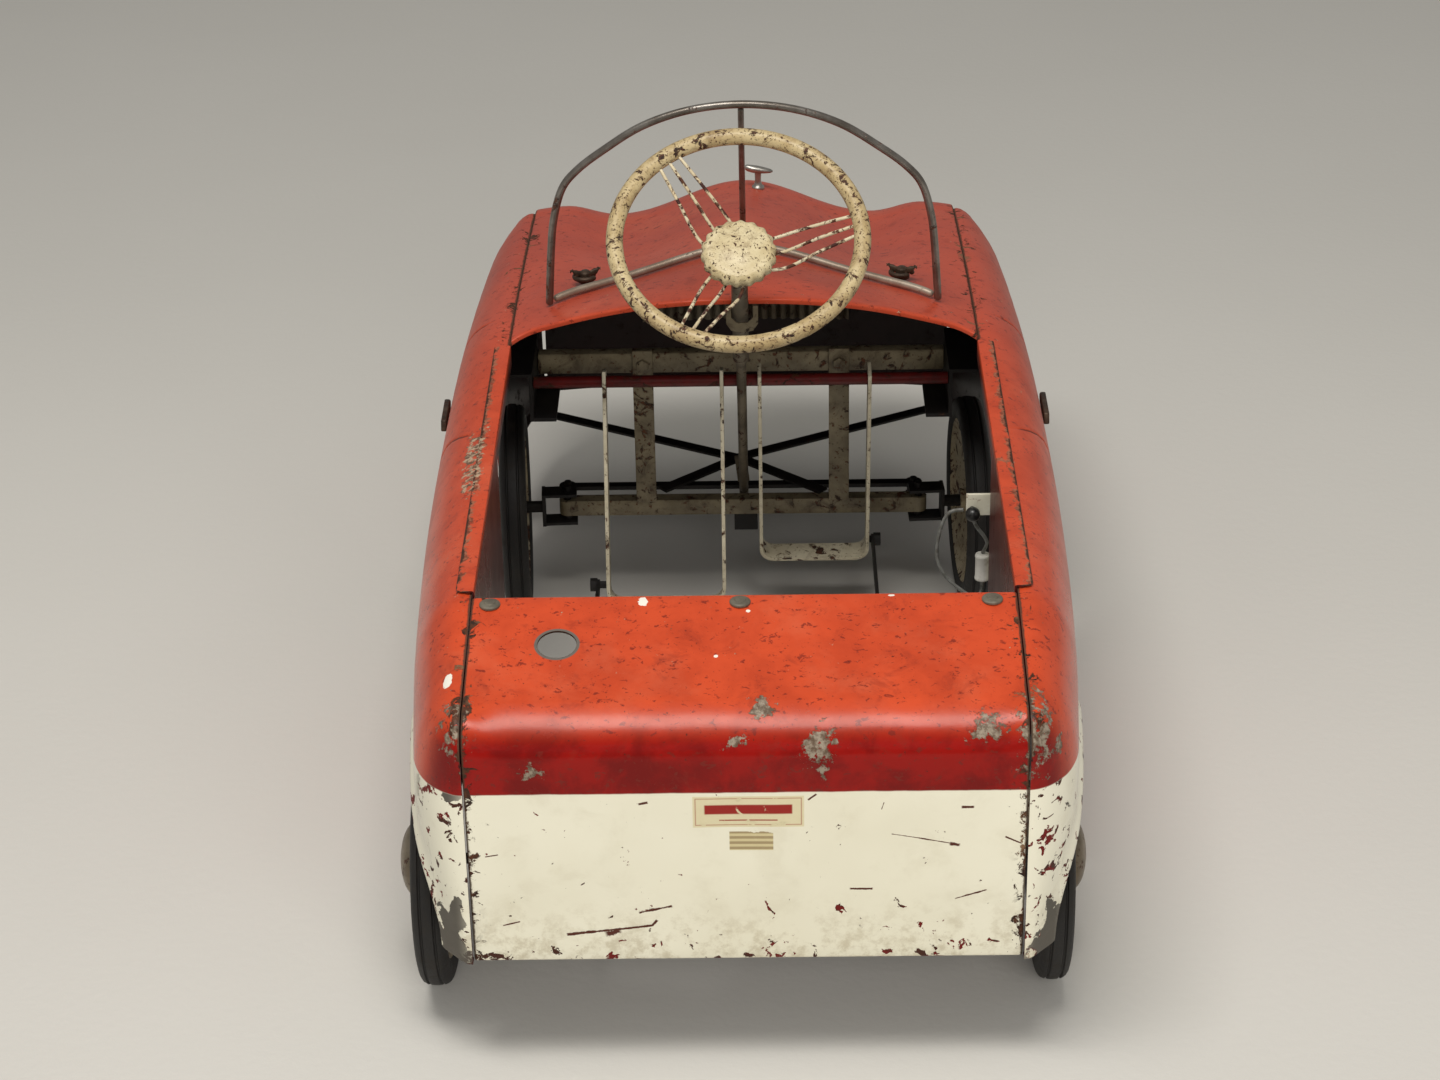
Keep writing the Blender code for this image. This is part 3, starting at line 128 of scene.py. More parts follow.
FRONT_ARCH_RADIUS = 0.115
ARCH_FLARE = 0.005
ARCH_FLARE_REACH = 0.016
DOOR_LINES = (-0.039, 0.150)
DOOR_LEAN = (-0.038, -0.022)
DOOR_LEAN_Z = (0.262, 0.296)
DOOR_GROOVE = 0.0017
DOOR_GROOVE_HALF = 0.0028

# Bonnet, nose and deck
DECK_FRONT_Y = -0.327
COWL_CENTRE_Y = 0.058
COWL_CENTRE_Z = 0.344
BONNET_END_Z = 0.300
BULGE_REACH = 0.300
BONNET_NOSE_Y = 0.468
BONNET_LIP_Z = 0.232
BULGE_HALF = 0.113
VALLEY_DEPTH = 0.009
WING_CROWN = 0.003
WING_CROWN_X = 0.157
NOSE_PANEL_BOTTOM = 0.084
GRILLE_HALF = 0.088
GRILLE_LOW_Z = 0.152
GRILLE_HIGH_Z = 0.188
BOOT_SIDE_GAP = 0.0010
CREST_SHARPNESS = math.radians(41.0)
DECK_HOLE = Vector((-0.1243, -0.375, 0.0))
DECK_HOLE_RADIUS = 0.0132
DECK_HEADS_X = (-0.1716, -0.0018, 0.1690)
RAIL_WIDTH = 0.0110
RAIL_FRONT_Y = 0.071
RAIL_REAR_Y = -0.322
RAIL_FLANGE = 0.016
INNER_WALL_FRONT_Y = -0.097
INNER_WALL_DEPTH = 0.135
RAIL_JOINT_Y = -0.1362
COLOUR_LINE_Z = 0.222

# Windscreen and steering
SCREEN_ROD = 0.0031
SCREEN_CENTRE_Y = 0.182
SCREEN_BASE_X = 0.156
SCREEN_BASE_Y = 0.125
SCREEN_TOP_Y = 0.105
SCREEN_TOP_Z = 0.487
COLUMN_ANGLE = math.radians(56.5)
STEERING_CENTRE = Vector((-0.0015, 0.0025, 0.4185))
STEER_REST = math.radians(3.0)
STEER_RATIO = 0.45
RIM_RADIUS = 0.0935
RIM_TUBE = 0.0065
SPOKE_RADIUS = 0.0013
BOSS_RADIUS = 0.0290
DISH = 0.018
BOSS_SCALLOPS = 18
COLUMN_RADIUS = 0.0065

# Wheels
TYRE_HALF_WIDTH = 0.01125
DISC_RADIUS = 0.0702
REAR_HALF_TRACK = 0.2165
FRONT_HALF_TRACK = 0.1945
KINGPIN_X = 0.150
CAP_RADIUS = 0.0265

# Lighting set
WIRE_RADIUS = 0.0014
LONG_WIRE = (
    (0.1676, -0.0648, 0.2210),
    (0.1575, -0.0635, 0.2184),
    (0.1516, -0.0625, 0.2072),
    (0.1481, -0.0620, 0.1889),
    (0.1491, -0.0620, 0.1740),
    (0.1555, -0.0620, 0.1607),
    (0.1649, -0.0615, 0.1508),
    (0.1744, -0.0605, 0.1435),
    (0.1812, -0.0590, 0.1425),
    (0.1835, -0.0580, 0.1480),
    (0.1835, -0.0580, 0.1556),
)
SHORT_WIRE = (
    (0.1745, -0.0648, 0.2148),
    (0.1775, -0.0655, 0.2070),
    (0.1830, -0.0650, 0.1990),
    (0.1862, -0.0630, 0.1920),
    (0.1858, -0.0598, 0.1860),
    (0.1835, -0.0580, 0.1796),
)

SIDES = (("left", -1), ("right", 1))


# Small sums


def ease(value):
    value = min(max(value, 0.0), 1.0)
    return value * value * (3.0 - 2.0 * value)


def mix(low, high, share):
    return low + (high - low) * share


def quarter(distance, reach):
    """0 at an edge, rising like a quarter circle to 1 at the reach."""
    share = min(max(distance / reach, 0.0), 1.0)
    return math.sqrt(1.0 - (1.0 - share) ** 2)


def steps(low, high, count, ends=True):
    """Evenly spaced numbers from low to high."""
    return [mix(low, high, step / count) for step in range(count + (1 if ends else 0))]


def smooth_path(points, spans):
    """A Catmull-Rom curve through the points, with a number of steps for each span."""
    points = [Vector(point) for point in points]
    padded = [2 * points[0] - points[1]] + points + [2 * points[-1] - points[-2]]
    path = []
    for index in range(1, len(padded) - 2):
        a, b, c, d = padded[index - 1 : index + 3]
        for step in range(spans):
            t = step / spans
            bend = (2 * a - 5 * b + 4 * c - d) * t**2 + (3 * b - a - 3 * c + d) * t**3
            path.append(0.5 * (2 * b + (c - a) * t + bend))
    path.append(points[-1])
    return path


# Camera, light and floor


def make_camera():
    ahead = math.cos(CAMERA_PITCH)
    forward = Vector((-math.sin(CAMERA_YAW) * ahead, math.cos(CAMERA_YAW) * ahead, -math.sin(CAMERA_PITCH)))
    level = Vector((math.cos(CAMERA_YAW), math.sin(CAMERA_YAW), 0.0))
    upright = level.cross(forward)
    right = math.cos(CAMERA_ROLL) * level + math.sin(CAMERA_ROLL) * upright
    up = math.cos(CAMERA_ROLL) * upright - math.sin(CAMERA_ROLL) * level
    data = bpy.data.cameras.new("camera")
    data.lens = FOCAL_MM
    data.sensor_width = SENSOR_MM
    data.clip_start = 0.05
    camera = bpy.data.objects.new("camera", data)
    bpy.context.scene.collection.objects.link(camera)
    turn = Matrix((right, up, -forward)).transposed().to_4x4()
    camera.matrix_world = Matrix.Translation(CAMERA_PLACE) @ turn
    bpy.context.scene.camera = camera


def make_light(name, place, target, size, power, colour):
    data = bpy.data.lights.new(name, "AREA")
    data.shape = "RECTANGLE"
    data.size, data.size_y = size
    data.energy = power
    data.color = colour
    light = bpy.data.objects.new(name, data)
    bpy.context.scene.collection.objects.link(light)
    light.location = place
    light.rotation_euler = (Vector(target) - Vector(place)).to_track_quat("-Z", "Y").to_euler()
    return light


def make_studio():
    world = bpy.data.worlds.new("studio")
    bpy.context.scene.world = world
    world.use_nodes = True
    background = world.node_tree.nodes["Background"]
    background.inputs["Color"].default_value = (1.0, 0.985, 0.95, 1.0)
    background.inputs["Strength"].default_value = 0.30
    make_light("key", (-0.3, -0.9, 2.7), (0.0, -0.1, 0.1), (1.7, 0.7), 50.0, (1.0, 0.97, 0.92))
    fill = make_light("fill", (0.5, -3.0, 1.5), (0.0, -0.3, 0.15), (2.2, 1.2), 40.0, (1.0, 0.97, 0.93))
    fill.visible_glossy = False
    bpy.context.scene.view_settings.view_transform = "Standard"
    bpy.context.scene.view_settings.look = "None"


def make_floor():
    mesh = bpy.data.meshes.new("floor")
    corners = [(x * FLOOR_REACH, y * FLOOR_REACH, 0.0) for x, y in ((-1, -1), (1, -1), (1, 1), (-1, 1))]
    mesh.from_pydata(corners, [], [(0, 1, 2, 3)])
    floor = bpy.data.objects.new("floor", mesh)
    bpy.context.scene.collection.objects.link(floor)
    nodes = Finish("floor_paint")
    tone = nodes.blend(nodes.noise(1.6, 5.0), (0.60, 0.585, 0.545), (0.66, 0.645, 0.605))
    mesh.materials.append(nodes.finish(tone, 0.75, bump=nodes.noise(120.0, 3.0), depth=0.0003))


# Materials


class Finish:
    """A material's nodes, one call for each. Textures follow the piece, in metres."""

    def __init__(self, name):
        self.material = bpy.data.materials.new(name)
        self.material.use_nodes = True
        self.tree = self.material.node_tree
        self.shader = self.tree.nodes["Principled BSDF"]
        self.place = self.node("ShaderNodeTexCoord").outputs["Object"]
        split = self.node("ShaderNodeSeparateXYZ")
        self.feed(split.inputs[0], self.place)
        self.x, self.y, self.z = split.outputs

    def node(self, kind, **settings):
        made = self.tree.nodes.new(kind)
        for name, value in settings.items():
            setattr(made, name, value)
        return made

    def feed(self, socket, value):
        if isinstance(value, bpy.types.NodeSocket):
            self.tree.links.new(value, socket)
        elif isinstance(value, tuple) and len(value) == 3 and socket.type == "RGBA":
            socket.default_value = (*value, 1.0)
        else:
            socket.default_value = value

    def sum(self, operation, first, second=0.0, clamp=False):
        made = self.node("ShaderNodeMath", operation=operation, use_clamp=clamp)
        self.feed(made.inputs[0], first)
        self.feed(made.inputs[1], second)
        return made.outputs[0]

    def add(self, first, second, clamp=False):
        return self.sum("ADD", first, second, clamp)

    def times(self, first, second):
        return self.sum("MULTIPLY", first, second)

    def minus(self, first, second, clamp=False):
        return self.sum("SUBTRACT", first, second, clamp)

    def size(self, value):
        return self.sum("ABSOLUTE", value)

    def most(self, *values):
        found = values[0]
        for value in values[1:]:
            found = self.sum("MAXIMUM", found, value)
        return found

    def less(self, first, second):
        """The first mask where the second one isn't."""
        return self.times(first, self.sum("SUBTRACT", 1.0, second))

    def rise(self, value, low, high):
        """0 up to low, 1 from high, smooth between them. High under low turns it round."""
        made = self.node("ShaderNodeMapRange", interpolation_type="SMOOTHSTEP", clamp=True)
        self.feed(made.inputs["Value"], value)
        if low < high:
            limits = (low, high, 0.0, 1.0)
        else:
            limits = (high, low, 1.0, 0.0)
        for name, number in zip(("From Min", "From Max", "To Min", "To Max"), limits):
            made.inputs[name].default_value = number
        return made.outputs["Result"]

    def moved(self, shift=(0.0, 0.0, 0.0), stretch=(1.0, 1.0, 1.0)):
        made = self.node("ShaderNodeMapping")
        self.feed(made.inputs["Vector"], self.place)
        made.inputs["Location"].default_value = shift
        made.inputs["Scale"].default_value = stretch
        return made.outputs[0]

    def noise(self, scale, detail=4.0, roughness=0.55, distortion=0.0, shift=0.0, stretch=None):
        made = self.node("ShaderNodeTexNoise")
        place = self.place
        if stretch or shift:
            place = self.moved((shift, shift, shift), stretch or (1.0, 1.0, 1.0))
        self.feed(made.inputs["Vector"], place)
        made.inputs["Scale"].default_value = scale
        made.inputs["Detail"].default_value = detail
        made.inputs["Roughness"].default_value = roughness
        made.inputs["Distortion"].default_value = distortion
        return made.outputs["Fac"]

    def blend(self, share, first, second):
        made = self.node("ShaderNodeMix", data_type="RGBA")
        self.feed(made.inputs[0], share)
        self.feed(made.inputs[6], first)
        self.feed(made.inputs[7], second)
        return made.outputs[2]

    def measure(self, name):
        """A number stored on the piece's points."""
        return self.node("ShaderNodeAttribute", attribute_name=name).outputs["Fac"]

    def distance(self, centre, flat=(1.0, 1.0, 1.0)):
        """Distance from a place, with a weight for each axis."""
        made = self.node("ShaderNodeVectorMath", operation="SUBTRACT")
        self.feed(made.inputs[0], self.place)
        made.inputs[1].default_value = centre
        scaled = self.node("ShaderNodeVectorMath", operation="MULTIPLY")
        self.feed(scaled.inputs[0], made.outputs[0])
        scaled.inputs[1].default_value = flat
        size = self.node("ShaderNodeVectorMath", operation="LENGTH")
        self.feed(size.inputs[0], scaled.outputs[0])
        return size.outputs["Value"]

    def near(self, centre, reach, flat=(1.0, 1.0, 1.0)):
        """1 at the centre, falling to 0 at the reach."""
        return self.rise(self.distance(centre, flat), reach, 0.0)

    def box(self, x_span, z_span, soft):
        """1 inside a rectangle seen along Y."""
        found = 1.0
        for value, (low, high) in ((self.x, x_span), (self.z, z_span)):
            inside = self.times(self.rise(value, low, low + soft), self.rise(value, high, high - soft))
            found = self.times(inside, found)
        return found

    def finish(self, colour, roughness, metallic=0.0, bump=None, depth=0.0003, coat=0.0):
        self.feed(self.shader.inputs["Base Color"], colour)
        self.feed(self.shader.inputs["Roughness"], roughness)
        self.feed(self.shader.inputs["Metallic"], metallic)
        if coat:
            self.shader.inputs["Coat Weight"].default_value = coat
            self.shader.inputs["Coat Roughness"].default_value = 0.18
        if bump is not None:
            made = self.node("ShaderNodeBump")
            made.inputs["Strength"].default_value = 1.0
            made.inputs["Distance"].default_value = depth
            self.feed(made.inputs["Height"], bump)
            self.feed(self.shader.inputs["Normal"], made.outputs[0])
        return self.material


RUST = (0.085, 0.030, 0.013)
DARK_RUST = (0.022, 0.011, 0.007)
ENAMEL_ROUGHNESS = 0.42
BARE_STEEL = (0.165, 0.150, 0.125)
OLD_RED = (0.150, 0.008, 0.006)
WHITE_PAINT = (0.84, 0.81, 0.66)

finishes = {}


def shared(build):
    """Builds a material once and hands out the same one after that."""

    def get():
        if build.__name__ not in finishes:
            finishes[build.__name__] = build()
        return finishes[build.__name__]

    return get


def white_zone(nodes, wobble):
    """Where the body is white: below a line that dips towards the rear wheel, and a band round its arch."""
    dip = nodes.times(nodes.rise(nodes.y, -0.425, -0.345), 0.0160)
    line = nodes.add(nodes.add(nodes.z, nodes.times(wobble, 0.0012)), dip)
    low = nodes.rise(line, COLOUR_LINE_Z + 0.0012, COLOUR_LINE_Z)
    centre = (0.0, REAR_AXLE_Y + DRAWING_SHIFT.y, AXLE_Z)
    from_axle = nodes.distance(centre, (0.0, 1.0, 1.0))
    flare = nodes.rise(from_axle, REAR_ARCH_RADIUS + 0.0177, REAR_ARCH_RADIUS + 0.0165)
    behind = nodes.rise(nodes.y, centre[1] + 0.001, centre[1])
    return nodes.most(nodes.times(low, behind), flare)


@shared
def body_paint():
    """Sun-faded red enamel over a white lower part, chipped to old red, rust and bare steel, with painted
    shade in the deep red of the rear band and the dark red of the inner walls.
    """
    nodes = Finish("body_enamel")
    broad = nodes.noise(7.0, 3.0, 0.6)
    cloud = nodes.noise(26.0, 6.0, 0.62, 0.3)
    grit = nodes.noise(190.0, 6.0, 0.72)
    fine = nodes.noise(900.0, 3.0, 0.6)
    wobble = nodes.noise(60.0, 2.0)
    orange = nodes.blend(nodes.rise(cloud, 0.35, 0.68), (0.565, 0.068, 0.021), (0.465, 0.052, 0.016))
    faded = nodes.blend(nodes.rise(broad, 0.35, 0.65), (0.47, 0.072, 0.037), (0.40, 0.060, 0.034))
    red = nodes.blend(nodes.rise(nodes.y, -0.02, 0.16), orange, faded)
    pale = nodes.rise(nodes.noise(16.0, 5.0, 0.65, shift=3.0), 0.52, 0.78)
    red = nodes.blend(nodes.times(pale, 0.30), red, (0.60, 0.150, 0.075))
    # painted shade, partly unfaded paint: the upright rear band below the crest turns deep red
    tail = nodes.times(nodes.rise(nodes.y, -0.436, -0.462), nodes.rise(nodes.z, 0.277, 0.255))
    unfaded_and_shaded_red = nodes.blend(nodes.rise(cloud, 0.40, 0.62), (0.27, 0.0035, 0.0012), (0.16, 0.002, 0.001))
    red = nodes.blend(tail, red, unfaded_and_shaded_red)
    stain = nodes.rise(nodes.noise(46.0, 8.0, 0.70, 0.6, shift=1.0), 0.54, 0.70)
    red = nodes.blend(nodes.times(stain, 0.40), red, (0.20, 0.022, 0.012))
    speck = nodes.rise(nodes.noise(200.0, 5.0, 0.68, 0.4, shift=5.0, stretch=(0.7, 1.0, 1.0)), 0.590, 0.64)
    red = nodes.blend(nodes.times(speck, 0.75), red, (0.150, 0.016, 0.010))
    pit = nodes.rise(nodes.noise(330.0, 4.0, 0.62, shift=12.0), 0.66, 0.70)
    red = nodes.blend(nodes.times(pit, 0.85), red, (0.050, 0.013, 0.009))

    white = nodes.blend(nodes.rise(broad, 0.30, 0.70), WHITE_PAINT, (0.79, 0.755, 0.60))
    white = nodes.blend(nodes.times(nodes.rise(cloud, 0.50, 0.75), 0.35), white, (0.62, 0.57, 0.42))
    low_dirt = nodes.times(
        nodes.rise(nodes.z, 0.150, 0.088), nodes.rise(nodes.noise(70.0, 8.0, 0.72), 0.44, 0.66)
    )
    white = nodes.blend(nodes.times(low_dirt, 0.55), white, (0.42, 0.35, 0.22))
    is_white = white_zone(nodes, wobble)
    colour = nodes.blend(is_white, red, white)

    seam = nodes.measure("seam")
    near_seam = nodes.rise(seam, 0.020, 0.0)
    foot = nodes.measure("foot")
    near_foot = nodes.rise(foot, 0.030, 0.0)
    corner = nodes.times(nodes.rise(nodes.size(nodes.x), 0.172, 0.196), nodes.rise(nodes.y, -0.425, -0.450))
    ragged = nodes.noise(75.0, 9.0, 0.74, 0.9, shift=2.0)
    flake = nodes.noise(105.0, 5.0, 0.60, 0.5, shift=7.0)
    # white flakes away to the old red and rust, most of all at the foot and the corners
    lean = nodes.add(nodes.times(near_foot, 0.088), nodes.times(corner, 0.095))
    white_chip = nodes.rise(nodes.add(flake, lean), 0.672, 0.682)
    white_chip = nodes.times(white_chip, is_white)
    bare_lean = nodes.add(nodes.times(nodes.times(corner, nodes.rise(nodes.z, 0.165, 0.095)), 0.17), -0.02)
    bare_chip = nodes.rise(nodes.add(nodes.noise(34.0, 6.0, 0.55, 0.4, shift=9.0), bare_lean), 0.600, 0.612)
    bare_chip = nodes.times(nodes.times(bare_chip, is_white), corner)
    chip_tone = nodes.blend(
        nodes.rise(nodes.noise(48.0, 3.0, shift=4.0), 0.47, 0.53), OLD_RED, (0.060, 0.018, 0.010)
    )
    colour = nodes.blend(white_chip, colour, chip_tone)
    colour = nodes.blend(bare_chip, colour, nodes.blend(cloud, BARE_STEEL, (0.11, 0.10, 0.085)))
    # red wears to rust along the seams and to steel in scuffs
    seam_lean = nodes.add(nodes.times(near_seam, 0.13), nodes.times(nodes.times(corner, near_seam), 0.10))
    rust_chip = nodes.rise(nodes.add(ragged, seam_lean), 0.675, 0.70)
    scuffs = nodes.most(
        nodes.near((0.048, -0.466, 0.254), 0.022, (0.9, 0.3, 1.0)),
        nodes.near((0.051, -0.467, 0.240), 0.012, (1.6, 0.3, 0.8)),
        nodes.near((0.157, -0.461, 0.264), 0.017, (0.7, 0.4, 1.3)),
        nodes.near((-0.0055, -0.466, 0.2575), 0.013, (0.8, 0.3, 1.6)),
        nodes.near((0.012, -0.444, 0.273), 0.013, (0.8, 0.6, 1.0)),
        nodes.near((-0.140, -0.466, 0.238), 0.014, (0.8, 0.3, 1.2)),
        nodes.near((0.206, -0.450, 0.247), 0.014),
        nodes.near((-0.189, -0.447, 0.258), 0.030, (1.6, 0.8, 0.8)),
        nodes.near((0.190, -0.449, 0.255), 0.036, (1.6, 0.8, 0.7)),
    )
    scuff_chip = nodes.rise(
        nodes.add(nodes.noise(120.0, 8.0, 0.72, shift=6.0), nodes.times(scuffs, 0.20)), 0.640, 0.665
    )
    scuff_chip = nodes.times(
        nodes.times(scuff_chip, nodes.rise(scuffs, 0.02, 0.12)), nodes.minus(1.0, is_white)
    )
    rust_tone = nodes.blend(nodes.rise(grit, 0.40, 0.62), RUST, DARK_RUST)
    rust_tone = nodes.blend(nodes.rise(cloud, 0.52, 0.62), rust_tone, (0.21, 0.115, 0.060))
    colour = nodes.blend(rust_chip, colour, rust_tone)
    colour = nodes.blend(
        scuff_chip,
        colour,
        nodes.blend(nodes.rise(grit, 0.38, 0.6), (0.30, 0.25, 0.19), (0.105, 0.070, 0.045)),
    )
    # spilt white paint, the bare ring round the deck's hole, and the pinched seam itself
    drips = nodes.most(
        nodes.near((-0.0676, -0.3415, 0.296), 0.0062, (1.0, 0.8, 0.2)),
        nodes.near((-0.1955, -0.4136, 0.277), 0.0075, (1.4, 0.6, 0.2)),
        nodes.near((0.0035, -0.352, 0.293), 0.0030),
        nodes.near((0.101, -0.338, 0.297), 0.0028, (0.6, 1.5, 1.0)),
        nodes.near((-0.018, -0.396, 0.284), 0.0026),
        nodes.near((0.196, 0.176, 0.297), 0.0026),
    )
    drip = nodes.rise(nodes.add(drips, nodes.times(nodes.minus(grit, 0.5), 1.3)), 0.40, 0.46)
    colour = nodes.blend(drip, colour, (0.80, 0.77, 0.68))
    hole = (DECK_HOLE.x, DECK_HOLE.y + DRAWING_SHIFT.y, 0.287)
    ring = nodes.near(hole, 0.036, (1.0, 1.0, 0.3))
    colour = nodes.blend(nodes.rise(ring, 0.595, 0.63), colour, (0.13, 0.115, 0.10))
    crack = nodes.rise(nodes.add(seam, nodes.times(nodes.minus(ragged, 0.5), 0.004)), 0.0017, 0.0006)
    colour = nodes.blend(nodes.times(crack, 0.90), colour, (0.060, 0.034, 0.020))
    rail = nodes.measure("crack")
    rail_crack = nodes.rise(nodes.add(rail, nodes.times(nodes.minus(ragged, 0.52), 0.009)), 0.0016, 0.0007)
    rail_halo = nodes.rise(nodes.add(rail, nodes.times(nodes.minus(ragged, 0.56), 0.030)), 0.0018, 0.0009)
    colour = nodes.blend(
        nodes.times(rail_halo, 0.80),
        colour,
        nodes.blend(nodes.rise(grit, 0.45, 0.58), (0.30, 0.13, 0.07), RUST),
    )
    colour = nodes.blend(nodes.times(rail_crack, 0.92), colour, (0.035, 0.017, 0.010))
    groove = nodes.measure("groove")
    # painted shade: a dark line along the door creases, where the groove dips
    colour = nodes.blend(nodes.times(nodes.rise(groove, 0.25, 0.95), 0.80), colour, (0.060, 0.015, 0.010))
    rubbed = nodes.times(nodes.rise(nodes.y, -0.215, -0.150), nodes.rise(nodes.y, -0.055, -0.100))
    rubbed = nodes.times(rubbed, nodes.rise(nodes.size(nodes.add(nodes.x, 0.1985)), 0.0125, 0.004))
    rubbed = nodes.rise(
        nodes.add(nodes.noise(160.0, 8.0, 0.72, shift=15.0), nodes.times(rubbed, 0.20)), 0.655, 0.685
    )
    flaked = nodes.blend(nodes.rise(grit, 0.44, 0.56), (0.46, 0.33, 0.22), (0.115, 0.062, 0.034))
    colour = nodes.blend(nodes.times(rubbed, nodes.rise(nodes.z, 0.276, 0.286)), colour, flaked)
    # painted shade, partly unfaded paint: the rail's hanging wall and lip, where the shade measure is 1,
    # turn dark red
    inside = nodes.blend(nodes.rise(cloud, 0.35, 0.65), (0.100, 0.009, 0.007), (0.060, 0.007, 0.006))
    colour = nodes.blend(nodes.measure("shade"), colour, inside)

    strokes = scratches(nodes, ragged)
    colour = nodes.blend(nodes.times(strokes, is_white), colour, (0.085, 0.022, 0.013))
    colour = decals(nodes, colour, flake)

    worn = nodes.most(white_chip, bare_chip, rust_chip, scuff_chip, crack, rail_crack)
    gloss = nodes.add(nodes.times(cloud, 0.20), nodes.times(nodes.rise(nodes.y, -0.44, 0.2), 0.20))
    rough = nodes.add(nodes.add(gloss, 0.14), nodes.times(worn, 0.38), clamp=True)
    height = nodes.add(nodes.times(worn, -0.45), nodes.times(fine, 0.05))
    height = nodes.add(height, nodes.times(grit, 0.10))
    height = nodes.add(height, nodes.times(cloud, 0.35))
    nodes.shader.inputs["Specular IOR Level"].default_value = 0.20
    return nodes.finish(colour, rough, nodes.times(bare_chip, 0.5), height, 0.0004, coat=0.08)


def scratches(nodes, ragged):
    """Long scratches on the white rear panel, low on its left and across its right half."""
    lines = (
        ((-0.120, 0.1080), (-0.085, 0.1120), 0.0013),
        ((-0.085, 0.1120), (-0.063, 0.1150), 0.0010),
        ((-0.063, 0.1150), (-0.060, 0.1190), 0.0010),
        ((-0.071, 0.1260), (-0.050, 0.1310), 0.0012),
        ((-0.093, 0.1085), (-0.086, 0.1105), 0.0028),
        ((-0.163, 0.1160), (-0.152, 0.1190), 0.0006),
        ((0.070, 0.1440), (0.084, 0.1440), 0.0011),
        ((0.097, 0.1880), (0.140, 0.1795), 0.0005),
        ((0.136, 0.1800), (0.141, 0.1790), 0.0015),
        ((0.172, 0.1850), (0.182, 0.1800), 0.0007),
        ((0.140, 0.1350), (0.160, 0.1420), 0.0008),
        ((0.143, 0.2090), (0.150, 0.2090), 0.0011),
        ((-0.069, 0.2140), (-0.064, 0.2150), 0.0011),
        ((0.042, 0.2160), (0.047, 0.2200), 0.0007),
        ((-0.172, 0.1730), (-0.164, 0.1745), 0.0006),
        ((0.090, 0.2080), (0.0915, 0.2130), 0.0005),
    )
    found = None
    for (x_from, z_from), (x_to, z_to), width in lines:
        along = Vector((x_to - x_from, z_to - z_from))
        length = along.length
        along = along / length
        x_part = nodes.minus(nodes.x, x_from)
        z_part = nodes.minus(nodes.z, z_from)
        run = nodes.add(nodes.times(x_part, along.x), nodes.times(z_part, along.y))
        off = nodes.minus(nodes.times(z_part, along.x), nodes.times(x_part, along.y))
        off = nodes.add(nodes.size(off), nodes.times(nodes.minus(ragged, 0.47), width * 3.0))
        on_line = nodes.rise(off, width, width * 0.6)
        ends = nodes.times(nodes.rise(run, -width, 0.0), nodes.rise(run, length + width, length))
        stroke = nodes.times(on_line, ends)
        found = stroke if found is None else nodes.sum("MAXIMUM", found, stroke)
    return nodes.times(found, nodes.rise(nodes.y, -0.452, -0.456))


def decals(nodes, colour, ragged):
    """Two plain labels without lettering: cream with a red edge and bar, and a small torn beige one."""
    behind = nodes.rise(nodes.y, -0.452, -0.456)
    tear = nodes.times(nodes.minus(ragged, 0.5), 0.010)
    label = nodes.times(nodes.box((-0.0345, 0.0395), (0.1945, 0.2195), 0.0008), behind)
    edge = nodes.box((-0.0330, 0.0380), (0.1960, 0.2180), 0.0006)
    inner = nodes.box((-0.0323, 0.0373), (0.1967, 0.2173), 0.0006)
    line = nodes.minus(edge, inner, clamp=True)
    bar = nodes.box((-0.0270, 0.0320), (0.2045, 0.2130), 0.0012)
    thin = nodes.box((-0.0170, 0.0220), (0.1995, 0.2010), 0.0006)
    paper = nodes.blend(ragged, (0.74, 0.68, 0.46), (0.66, 0.58, 0.36))
    inked = nodes.times(nodes.most(nodes.times(line, 0.6), bar, thin), nodes.rise(ragged, 0.66, 0.60))
    paper = nodes.blend(inked, paper, (0.30, 0.020, 0.014))
    colour = nodes.blend(label, colour, paper)
    torn = nodes.add(nodes.z, nodes.times(nodes.x, 0.12))
    small = nodes.box((-0.0105, 0.0190), (0.1760, 0.1915), 0.0006)
    small = nodes.times(nodes.times(small, behind), nodes.rise(nodes.add(torn, tear), 0.1925, 0.1915))
    stripes = nodes.node("ShaderNodeTexWave", wave_type="BANDS", bands_direction="Z")
    nodes.feed(stripes.inputs["Vector"], nodes.place)
    stripes.inputs["Scale"].default_value = 75.0
    beige = nodes.blend(nodes.rise(stripes.outputs["Fac"], 0.4, 0.6), (0.62, 0.53, 0.30), (0.36, 0.28, 0.15))
    return nodes.blend(small, colour, beige)


@shared
def inner_paint():
    """The dark red inside the body, partly unfaded paint and partly painted shade, turning to near-black
    painted shade forward of the cowl, dusty and spotted with rust.
    """
    nodes = Finish("body_inside")
    cloud = nodes.noise(30.0, 7.0, 0.65)
    rust = nodes.rise(nodes.noise(85.0, 8.0, 0.72, shift=4.0), 0.56, 0.66)
    colour = nodes.blend(nodes.rise(cloud, 0.35, 0.65), (0.080, 0.007, 0.006), (0.045, 0.006, 0.005))
    # painted shade: near-black forward of the cowl, in the dark under the bonnet
    shadowed = nodes.rise(nodes.y, 0.075, 0.105)
    colour = nodes.blend(nodes.times(shadowed, 0.85), colour, (0.006, 0.004, 0.0035))
    colour = nodes.blend(nodes.times(rust, 0.8), colour, (0.020, 0.010, 0.007))
    height = nodes.add(cloud, nodes.times(rust, 0.4))
    return nodes.finish(colour, nodes.add(0.45, nodes.times(rust, 0.35)), bump=height, depth=0.0004)


